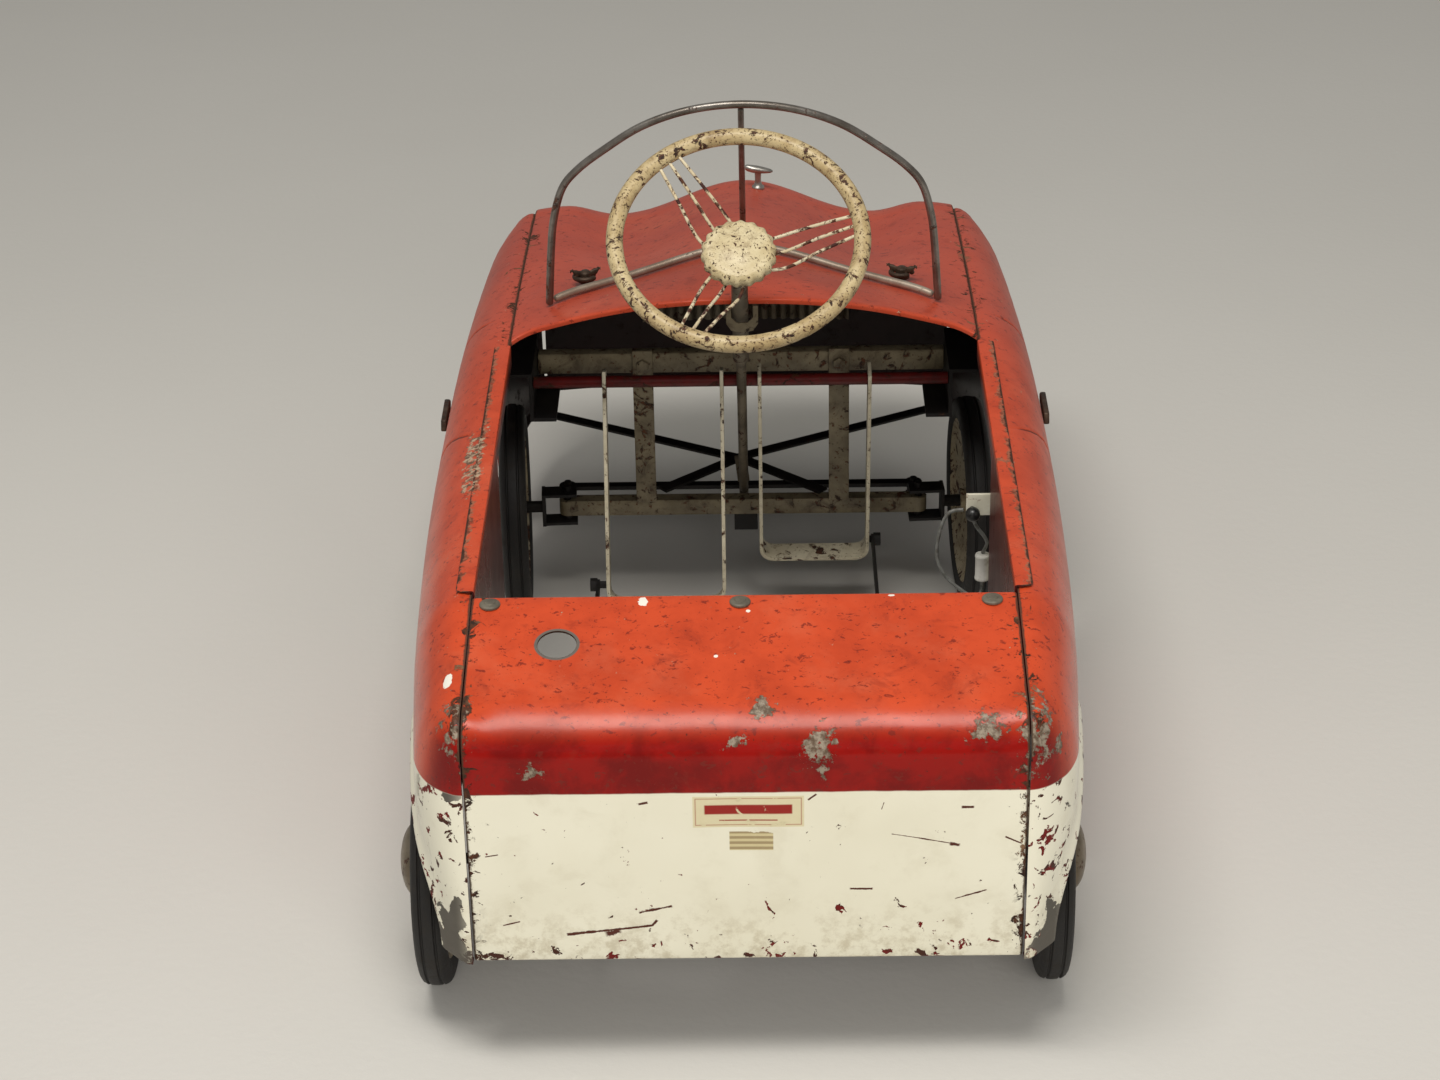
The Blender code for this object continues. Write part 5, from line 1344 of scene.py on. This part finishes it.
def boot_profile(sharpness):
    """Side view of the deck and the rear panel, from the deck's front lip to the lower lip."""
    front = Vector((DECK_FRONT_Y, SEAM_DECK_Z))
    crest = Vector((SEAM_CREST_Y, SEAM_CREST_Z))
    profile = [
        front + Vector((0.0012, -0.012)), front + Vector((0.0, -0.0022)), front + Vector((-0.0006, -0.0006))
    ]
    profile += [front.lerp(crest, share) for share in steps(0.02, 1.0, 14)]
    for share in (0.015, 0.04, 0.08, 0.16, 0.26, 0.37, 0.48, 0.59, 0.70, 0.80, 0.90, 1.0):
        turn = mix(sharpness, math.pi / 2.0, share)
        back = (math.sin(turn) - math.sin(sharpness)) / (1.0 - math.sin(sharpness))
        fall = (math.cos(sharpness) - math.cos(turn)) / math.cos(sharpness)
        profile.append(crest + Vector(((TAIL_Y - SEAM_CREST_Y) * back, -SEAM_TAIL_DROP * fall)))
    profile += [Vector((TAIL_Y + 0.0045 * ((0.240 - z) / 0.150) ** 2, z)) for z in steps(0.238, 0.0885, 22)]
    tip = profile[-1]
    for turn in (30, 60, 90):
        angle = math.radians(turn)
        profile.append(
            tip + Vector((0.0035 * (1.0 - math.cos(angle)), (TAIL_SILL_Z - tip.y) * math.sin(angle)))
        )
    profile.append(profile[-1] + Vector((0.008, 0.0)))
    return profile


def dent(x, z):
    """Shallow hand-beaten waves in the rear panel, a fraction of a millimetre deep."""
    broad = 0.00035 * math.sin(31.0 * x + 9.0 * z) * math.sin(43.0 * z + 5.0 * x)
    return broad + 0.00025 * math.sin(77.0 * x - 21.0 * z)


def make_boot_panel():
    reach = SEAM_X - BOOT_SIDE_GAP
    widths = [-reach, -reach + 0.0006, -reach + SEAM_ROUND, -reach + 0.004] + steps(-0.176, 0.176, 56)
    widths += [reach - 0.004, reach - SEAM_ROUND, reach - 0.0006, reach]
    grid, seam, foot = [], [], []
    for x in widths:
        from_edge = reach - abs(x)
        profile = boot_profile(CREST_SHARPNESS * ease(from_edge / 0.025))
        rounding = 0.0010 * (1.0 - quarter(from_edge, SEAM_ROUND))
        column = []
        for y, z in profile:
            tail = ease((SEAM_CREST_Y - y) / 0.025)
            wave = abs(dent(x, z)) * tail * ease(from_edge / 0.02) * ease((z - 0.10) / 0.02)
            column.append((BODY_X + x, y + wave + rounding * tail, z - rounding * (1.0 - tail)))
        grid.append(column)
        seam.append([from_edge] * len(profile))
        foot.append([max(z - TAIL_SILL_Z, 0.0) for y, z in profile])
    mesh = sheet_mesh(grid, (BODY_X, -0.39, 0.18), measures={"seam": seam, "foot": foot})
    hole = turned_mesh([(0.0, 0.25), (DECK_HOLE_RADIUS, 0.25), (DECK_HOLE_RADIUS, 0.33), (0.0, 0.33)], 48)
    hole.transform(Matrix.Translation(DECK_HOLE))
    placed(
        "boot_panel_skin",
        cut(mesh, hole),
        (body_paint(), inner_paint()),
        "body",
        "orange_paint",
        "boot_panel",
    )
    heads = []
    for x in DECK_HEADS_X:
        y = DECK_FRONT_Y - 0.008
        outline = [(0.0, -0.0005), (0.0072, -0.0005), (0.0072, 0.0006), (0.0066, 0.0013), (0.0058, 0.0016)]
        head = turned_mesh(outline + [(0.0040, 0.0018), (0.0036, 0.0023), (0.0, 0.0025)], 40)
        head.transform(Matrix.Translation((x, y, seam_z(y))))
        heads.append(head)
    placed("deck_buttons", joined(heads), (button_metal(),), "body", "dark_steel")


def rail_point(sign, y, across):
    """A point of the side panel's skin, measured across from the seam."""
    low, high = seam_z(y) - 0.020, seam_z(y)
    for _ in range(24):
        middle = (low + high) / 2.0
        if side_x(y, middle) - SEAM_X >= across:
            low = middle
        else:
            high = middle
    return Vector((BODY_X + sign * (SEAM_X + across), y, high))


def make_cockpit_rail(side, sign):
    """A folded strip over the cockpit's edge, with a wall hanging from its rear half and a cracked edge."""
    lift = SHEET + 2.0 * GAP
    grid, crack, seam, shade = [], [], [], []
    corner = 0.009
    stations = steps(RAIL_REAR_Y, RAIL_REAR_Y + corner, 8, ends=False)
    stations += steps(RAIL_REAR_Y + corner, INNER_WALL_FRONT_Y, 32)
    stations += steps(INNER_WALL_FRONT_Y + 0.001, RAIL_FRONT_Y, 26)
    for y in stations:
        width = RAIL_WIDTH - 0.0075 * (1.0 - quarter(y - RAIL_REAR_Y, corner))
        depth = INNER_WALL_DEPTH if y <= INNER_WALL_FRONT_Y else RAIL_FLANGE
        inner = Vector((BODY_X + sign * (SEAM_X - lift), y, seam_z(y) + lift))
        column = [
            inner + Vector((0.0, 0.0, -drop)) for drop in (depth, 0.5 * (depth + 0.008), 0.008, 0.0016)
        ]
        column += [inner + Vector((sign * 0.0005, 0.0, -0.0004)), inner + Vector((sign * 0.0018, 0.0, 0.0))]
        cracks = [1.0] * 6
        # the shade measure marks the hanging wall and lip for painted shade in body_paint
        shades = [1.0, 1.0, 0.75, 0.0] + [0.0] * 9
        for share in (0.35, 0.52, 0.68, 0.80, 0.90, 0.96, 1.0):
            across = share * width
            raised = lift - (0.0006 if share == 1.0 else 0.0)
            slope = 0.02 + 0.23 * share
            column.append(
                rail_point(sign, y, across) + Vector((sign * slope, 0.0, 1.0)).normalized() * raised
            )
            cracks.append((1.0 - share) * width)
        if side == "right":
            cracks = [min(value, abs(y - RAIL_JOINT_Y)) for value in cracks]
        grid.append([tuple(point) for point in column])
        crack.append(cracks)
        shade.append(shades)
        seam.append([1.0] * len(column))
    mesh = sheet_mesh(grid, (BODY_X, -0.10, -0.5), measures={"crack": crack, "seam": seam, "shade": shade})
    name = f"cockpit_rail_{side}"
    placed(name + "_skin", mesh, (body_paint(), inner_paint()), "body", "orange_paint", name)


# Windscreen


def screen_hoop_path():
    top = SCREEN_TOP_Z
    foot_z = bonnet_z(SCREEN_BASE_X, SCREEN_BASE_Y) + GAP + 0.001
    left = [
        (-SCREEN_BASE_X, SCREEN_BASE_Y, foot_z),
        (-0.1525, 0.1210, foot_z + 0.048),
        (-0.1490, 0.1180, top - 0.099),
        (-0.1415, 0.1155, top - 0.0725),
        (-0.1290, 0.1135, top - 0.0560),
        (-0.1090, 0.1110, top - 0.0395),
        (-0.0770, 0.1080, top - 0.0180),
        (-0.0400, 0.1060, top - 0.0046),
    ]
    right = [(-x, y, z) for x, y, z in reversed(left)]
    return smooth_path(left + [(0.0, SCREEN_TOP_Y, top)] + right, 6)


def make_windscreen():
    shift = Vector((BODY_X, 0.0, 0.0))
    hoop = tube_mesh([point + shift for point in screen_hoop_path()], SCREEN_ROD, 20)
    placed("windscreen_hoop_rod", hoop, (rod_steel(),), "body", "bright_steel", "windscreen_hoop")
    reach = SCREEN_BASE_X - SCREEN_ROD - 2.0 * GAP
    base = []
    for x in steps(-reach, reach, 48):
        y = screen_base_y(x)
        base.append((BODY_X + x, y, bonnet_z(x, y) + SCREEN_ROD + 0.0012))
    strip = tube_mesh(base, SCREEN_ROD, 20)
    placed("windscreen_base", strip, (strip_steel(),), "body", "bright_steel", "windscreen_base_rod")
    foot = Vector((BODY_X, SCREEN_CENTRE_Y, bonnet_z(0.0, SCREEN_CENTRE_Y) + 2.0 * SCREEN_ROD + 0.0022))
    head = Vector((BODY_X, SCREEN_TOP_Y, SCREEN_TOP_Z))
    along = (head - foot).normalized()
    post = tube_mesh(
        [foot, foot.lerp(head, 0.5), head - along * (SCREEN_ROD + 0.0009)], SCREEN_ROD - 0.0006, 20
    )
    placed("windscreen_post_rod", post, (rod_steel(),), "body", "bright_steel", "windscreen_post")


def make_screen_clamp(side, sign):
    """A curled foot with a wing nut that holds the windscreen's base strip to the bonnet."""
    x = 0.129
    y = screen_base_y(x) + 0.032
    origin = Vector((BODY_X + sign * x, y, bonnet_z(x, y) + 0.0028))
    barrel = [
        (0.0, 0.0), (0.0064, 0.0), (0.0064, 0.0024), (0.0050, 0.0036), (0.0046, 0.0080), (0.0030, 0.0094),
        (0.0, 0.0096),
    ]
    parts = [turned_mesh(barrel, 32)]
    curl = [
        (0.0088 * math.cos(turn), 0.0088 * math.sin(turn), 0.0030 + 0.0004 * turn)
        for turn in steps(0.3, 5.6, 28)
    ]
    parts.append(tube_mesh(curl, 0.0021, 14))
    for turn in (-1, 1):
        path = [
            (turn * share * 0.0122, 0.0, 0.0052 + 0.0054 * share**1.6)
            for share in (0.2, 0.45, 0.7, 0.88, 1.0)
        ]
        wing = tube_mesh(path, 0.0027, 14)
        wing.transform(Matrix.Diagonal((1.0, 0.55, 1.0, 1.0)))
        parts.append(wing)
    mesh = joined(parts)
    mesh.transform(Matrix.Translation(origin) @ Matrix.Rotation(sign * math.radians(-14.0), 4, "Z"))
    name = f"windscreen_clamp_{side}"
    placed(name + "_nut", mesh, (bronze_steel(),), "body", "dark_steel", name)


def make_bonnet_handle():
    """A die-cast lever on a waisted stem, thick at its left end and drawn out thin to the right."""
    y = 0.396
    origin = Vector((0.0137, y, bonnet_z(0.0137 - BODY_X, y) + 0.0006))
    stem = [
        (0.0, 0.0), (0.0056, 0.0), (0.0054, 0.0012), (0.0036, 0.0026), (0.0027, 0.0060), (0.0030, 0.0150),
        (0.0, 0.0158),
    ]
    stations = [
        (-0.0112, 0.0014, 0.0020, 0.0190),
        (-0.0095, 0.0030, 0.0030, 0.0186),
        (-0.0050, 0.0038, 0.0034, 0.0176),
    ]
    stations += [
        (0.0, 0.0040, 0.0034, 0.0168),
        (0.0060, 0.0036, 0.0026, 0.0160),
        (0.0108, 0.0026, 0.0017, 0.0154),
        (0.0130, 0.0010, 0.0007, 0.0152),
    ]
    points, faces, count = [], [], 20
    for x, half, thick, z in stations:
        for step in range(count):
            angle = TAU * step / count
            points.append((x, half * math.cos(angle), z + thick * math.sin(angle)))
    faces += [tuple(range(count)), tuple(range(len(points) - 1, len(points) - count - 1, -1))]
    for level in range(len(stations) - 1):
        low, high = level * count, (level + 1) * count
        faces += [(low + s, low + (s + 1) % count, high + (s + 1) % count, high + s) for s in range(count)]
    mesh = joined([turned_mesh(stem, 32), mesh_of(points, faces, 60.0)])
    mesh.transform(Matrix.Translation(origin))
    placed("bonnet_handle_lever", mesh, (chrome(),), "body", "bright_steel", "bonnet_handle")


# Steering


def column_matrix():
    """From a shape about Z to one about the steering column's axis."""
    return Matrix.Translation(STEERING_CENTRE) @ Matrix.Rotation(math.pi / 2.0 - COLUMN_ANGLE, 4, "X")


def steering_matrix():
    return column_matrix() @ Matrix.Rotation(STEER_REST / STEER_RATIO, 4, "Z")


def make_steering_wheel():
    at_wheel = steering_matrix()
    ring = []
    for step in range(24):
        angle = TAU * step / 24
        ring.append((RIM_RADIUS + RIM_TUBE * math.cos(angle), RIM_TUBE * math.sin(angle)))
    rim = turned_mesh(ring, 128, smooth_angle=60.0)
    plate = [
        (0.0, -0.012), (0.0135, -0.012), (0.014, -0.0115), (0.014, -0.0075), (0.0135, -0.007), (0.0, -0.007)
    ]
    wires = [turned_mesh([(radius, height - DISH) for radius, height in plate], 40)]
    for group in range(3):
        for offset in (-0.0090, 0.0, 0.0090):
            wires.append(spoke_mesh(TAU * group / 3, offset))
    spokes = joined(wires, 60.0)
    boss = boss_mesh()
    boss.transform(Matrix.Translation((0.0, 0.0, -DISH)))
    for mesh in (rim, spokes, boss):
        mesh.transform(at_wheel)
    placed("steering_rim_ring", rim, (rim_enamel(),), "steering", "cream_paint", "steering_rim")
    placed("steering_spoke_wires", spokes, (spoke_enamel(),), "steering", "bright_steel", "steering_spokes")
    placed("steering_boss_cap", boss, (boss_enamel(),), "steering", "cream_paint", "steering_boss")


def spoke_mesh(direction, offset):
    out = Vector((math.cos(direction), math.sin(direction), 0.0))
    side = Vector((-out.y, out.x, 0.0))
    reach = math.sqrt((RIM_RADIUS - RIM_TUBE + 0.0010) ** 2 - offset**2)
    knots = [
        out * 0.003 + side * offset * 0.9 + Vector((0.0, 0.0, -DISH - 0.0095)),
        out * 0.031 + side * offset * 1.6 + Vector((0.0, 0.0, -DISH - 0.0082)),
        out * 0.060 + side * offset * 1.32 + Vector((0.0, 0.0, -DISH * 0.66)),
        out * reach + side * offset,
    ]
    return tube_mesh(smooth_path(knots, 5), SPOKE_RADIUS, 12)


def boss_mesh():
    """A scalloped disc with a raised middle."""
    count = BOSS_SCALLOPS * 12
    levels = [
        (0.96, -0.0062, 0.05),
        (1.0, -0.0052, 0.060),
        (1.0, -0.0012, 0.060),
        (0.985, 0.0004, 0.060),
        (0.94, 0.0020, 0.045),
    ]
    levels += [
        (0.86, 0.0036, 0.020),
        (0.80, 0.0041, 0.006),
        (0.74, 0.0040, 0.0),
        (0.66, 0.0048, 0.0),
        (0.50, 0.0063, 0.0),
    ]
    levels += [(0.34, 0.0072, 0.0), (0.16, 0.0077, 0.0)]
    points, faces = [(0.0, 0.0, -0.0062)], []
    for share, height, depth in levels:
        for step in range(count):
            angle = TAU * step / count
            radius = BOSS_RADIUS * share * (1.0 - depth * (0.5 - 0.5 * math.cos(BOSS_SCALLOPS * angle)))
            points.append((radius * math.cos(angle), radius * math.sin(angle), height))
    points.append((0.0, 0.0, 0.0078))
    for step in range(count):
        after = (step + 1) % count
        faces.append((0, 1 + after, 1 + step))
        for level in range(len(levels) - 1):
            low, high = 1 + level * count, 1 + (level + 1) * count
            faces.append((low + step, low + after, high + after, high + step))
        top = 1 + (len(levels) - 1) * count
        faces.append((top + step, top + after, len(points) - 1))
    return mesh_of(points, faces, 50.0)


# Wheels


def tyre_mesh(sign):
    """A narrow solid tyre with three ribs round its tread."""
    half, bead = TYRE_HALF_WIDTH, DISC_RADIUS + GAP
    outline = [
        (bead, 0.80), (bead + 0.0015, 0.88), (0.0750, 0.98), (0.0790, 1.0), (0.0820, 0.97), (0.0848, 0.90),
        (0.0868, 0.78),
    ]
    outline += [
        (0.0880, 0.62), (0.0885, 0.52), (0.0874, 0.44), (0.0874, 0.38), (0.0888, 0.30), (WHEEL_RADIUS, 0.14),
        (WHEEL_RADIUS, 0.0),
    ]
    profile = [(radius, -half * share) for radius, share in outline]
    profile += [(radius, -height) for radius, height in reversed(profile[:-1])]
    return turned_mesh([(radius, sign * height) for radius, height in profile], 96, "X", 50.0)


def disc_mesh(sign, bore):
    """A pressed disc: rolled rim, dished web and a hub tube, with its outer face towards the sign."""
    rim, web = DISC_RADIUS, 0.0012
    outside = [
        (bore, 0.0085), (0.0094, 0.0085), (0.0104, 0.0078), (0.0120, 0.0052), (0.0150, 0.0041),
        (0.0300, 0.0040),
    ]
    outside += [
        (0.0340, 0.0036), (0.0540, -0.0004), (0.0580, -0.0015), (0.0605, -0.0006), (0.0635, 0.0040),
        (0.0660, 0.0072),
    ]
    outside += [(0.0680, 0.0087), (rim - 0.0006, 0.0090), (rim, 0.0084)]
    inside = [
        (rim, -0.0090),
        (0.0660, -0.0060),
        (0.0600, -0.0042),
        (0.0580, -0.0015 - 2.0 * web),
        (0.0540, -0.0004 - 2.0 * web),
    ]
    inside += [(0.0300, 0.0040 - 2.0 * web), (0.0100, 0.0020 - web), (0.0100, -0.0085), (bore, -0.0085)]
    return turned_mesh([(radius, sign * height) for radius, height in outside + inside], 96, "X")


def cap_mesh(sign):
    """A domed hub cap with a rolled edge: a thin shell pressed over the disc's middle."""
    radius = CAP_RADIUS
    outer = [(0.0, 0.0260)]
    for turn in range(8, 89, 8):
        angle = math.radians(turn)
        outer.append((radius * math.sin(angle), 0.0150 + 0.0110 * math.cos(angle)))
    outer += [(radius, 0.0150), (radius, 0.0108), (radius - 0.0002, 0.0092)]
    inner = [(radius - 0.0012, 0.0092), (radius - 0.0012, 0.0143), (radius * 0.73, 0.0210), (0.0, 0.0248)]
    return turned_mesh([(r, sign * height) for r, height in outer + inner], 64, "X")


def make_wheel(end, side, sign, centre, turn, body, bore):
    name = f"{end}_{side}"
    matrix = Matrix.Translation(centre) @ Matrix.Rotation(turn, 4, "Z")
    for kind, mesh, made, slot in (
        ("tyre", tyre_mesh(sign), tyre_rubber(), "tyre_rubber"),
        ("wheel_disc", disc_mesh(sign, bore), wheel_cream(), "cream_paint"),
        ("hub_cap", cap_mesh(sign), cap_metal(), "bright_steel"),
    ):
        mesh.transform(matrix)
        placed(f"{kind}_{name}_finish", mesh, (made,), body, slot, f"{kind}_{name}")


def make_wheels():
    for side, sign in SIDES:
        rear = Vector((CHASSIS_X + sign * REAR_HALF_TRACK, REAR_AXLE_Y, AXLE_Z))
        make_wheel("rear", side, sign, rear, 0.0, "rear_axle", 0.0043)
        reach = FRONT_HALF_TRACK - KINGPIN_X
        swing = Vector((math.cos(STEER_REST), math.sin(STEER_REST), 0.0)) * sign * reach
        front = Vector((CHASSIS_X + sign * KINGPIN_X, FRONT_AXLE_Y, AXLE_Z)) + swing
        make_wheel("front", side, sign, front, STEER_REST, f"front_wheel_{side}", 0.0053)


# Pieces kept from the CAD, with their sharp edges taken off


def softened(node, finish, width):
    """The CAD node's own shape as a piece, with its flat faces joined up and its edges bevelled."""
    source = frame["nodes"][node]
    mesh = source.data.copy()
    mesh.materials.clear()
    build = bmesh.new()
    build.from_mesh(mesh)
    bmesh.ops.remove_doubles(build, verts=build.verts, dist=0.00001)
    bmesh.ops.dissolve_limit(build, angle_limit=math.radians(1.0), verts=build.verts, edges=build.edges)
    sharp = [
        edge
        for edge in build.edges if len(edge.link_faces) == 2 and edge.calc_face_angle(0.0) > math.radians(
            50.0
        )
    ]
    if width and sharp:
        bmesh.ops.bevel(
            build, geom=sharp, offset=width, segments=2, profile=0.6, affect="EDGES", clamp_overlap=True
        )
    bmesh.ops.recalc_face_normals(build, faces=build.faces)
    build.to_mesh(mesh)
    build.free()
    mesh.shade_smooth()
    mesh.set_sharp_from_angle(angle=math.radians(35.0))
    mesh.materials.append(finish)
    piece = bpy.data.objects.new(node + "_edged", mesh)
    bpy.context.scene.collection.objects.link(piece)
    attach(piece, source["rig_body"])
    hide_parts(node)


def make_kept_nodes():
    for side, _ in SIDES:
        softened(f"door_handle_{side}", bronze_steel(), 0.0012)
        softened(f"pedal_hanger_{side}", black_steel(), 0.0004)
        softened(f"axle_post_{side}", frame_cream(), 0.0005)
        softened(f"brace_{side}", black_steel(), 0.0004)
        softened(f"rear_bearing_{side}", black_steel(), 0.0004)
        softened(f"stub_axle_{side}", black_steel(), 0.0004)
        softened(f"conrod_{side}", black_steel(), 0.0004)
        softened(f"pedal_{side}", pedal_cream(), 0.0006)
    softened("front_crossmember", frame_cream(), 0.0012)
    softened("front_axle_beam", frame_cream(), 0.0012)
    softened("dash_bracket", frame_cream(), 0.0004)
    softened("column_foot", black_steel(), 0.0005)
    softened("battery_holder", nose_cream(), 0.0004)
    softened("tie_rod", black_steel(), 0.0004)
    softened("crank_axle", black_steel(), 0.0)
    softened("pedal_rod", red_rod(), 0.0004)
    softened("steering_column", column_steel(), 0.0003)


def make_lighting_set():
    """The battery with its crimped ends, and the switch knob."""
    x, y = LONG_WIRE[-1][0], LONG_WIRE[-1][1]
    radius = 0.0058
    body = [
        (0.0, 0.1560), (0.0042, 0.1560), (0.0046, 0.1566), (0.0055, 0.1568), (radius, 0.1574),
        (radius, 0.1586), (0.0055, 0.1592),
    ]
    body += [
        (0.0055, 0.1758), (radius, 0.1764), (radius, 0.1776), (0.0054, 0.1782), (0.0040, 0.1784),
        (0.0036, 0.1790), (0.0, 0.1790),
    ]
    battery = turned_mesh(body, 48)
    battery.transform(Matrix.Translation((x, y, 0.0)))
    placed("battery_shell", battery, (battery_case(),), "body", "battery_case", "battery")
    low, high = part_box("switch_knob")
    centre = (low + high) / 2.0 - DRAWING_SHIFT
    profile = [
        (0.0, 0.0), (0.0022, 0.0), (0.0022, 0.0038), (0.0030, 0.0050), (0.0050, 0.0062), (0.0055, 0.0076),
        (0.0055, 0.0106),
    ]
    profile += [(0.0050, 0.0120), (0.0034, 0.0138), (0.0016, 0.0147), (0.0, 0.0150)]
    knob = turned_mesh([(radius, -height) for radius, height in profile], 40, "Y")
    knob.transform(Matrix.Translation((centre.x, high.y - DRAWING_SHIFT.y, centre.z)))
    placed("switch_knob_turned", knob, (knob_plastic(),), "body", "knob_plastic", "switch_knob")


# Wires


def make_wire(node, route):
    path = [point + DRAWING_SHIFT for point in smooth_path(route, 3)]
    curve = bpy.data.curves.new(node + "_lead", "CURVE")
    curve.dimensions = "3D"
    curve.bevel_depth = WIRE_RADIUS
    curve.bevel_resolution = 4
    curve.use_fill_caps = True
    spline = curve.splines.new("POLY")
    spline.points.add(len(path) - 1)
    for point, corner in zip(spline.points, path):
        point.co = (*corner, 1.0)
    spline.use_smooth = True
    curve.materials.append(wire_cover())
    wire = bpy.data.objects.new(node + "_lead", curve)
    bpy.context.scene.collection.objects.link(wire)
    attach(wire, "body")
    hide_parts(node)


def main():
    make_camera()
    make_wire("lighting_wire_long", LONG_WIRE)
    make_wire("lighting_wire_short", SHORT_WIRE)
    make_studio()
    make_floor()
    make_bonnet()
    make_nose()
    make_boot_panel()
    make_windscreen()
    make_bonnet_handle()
    make_steering_wheel()
    make_wheels()
    make_kept_nodes()
    make_lighting_set()
    for side, sign in SIDES:
        make_side_panel(side, sign)
        make_cockpit_rail(side, sign)
        make_headlight(side, sign)
        make_screen_clamp(side, sign)


main()
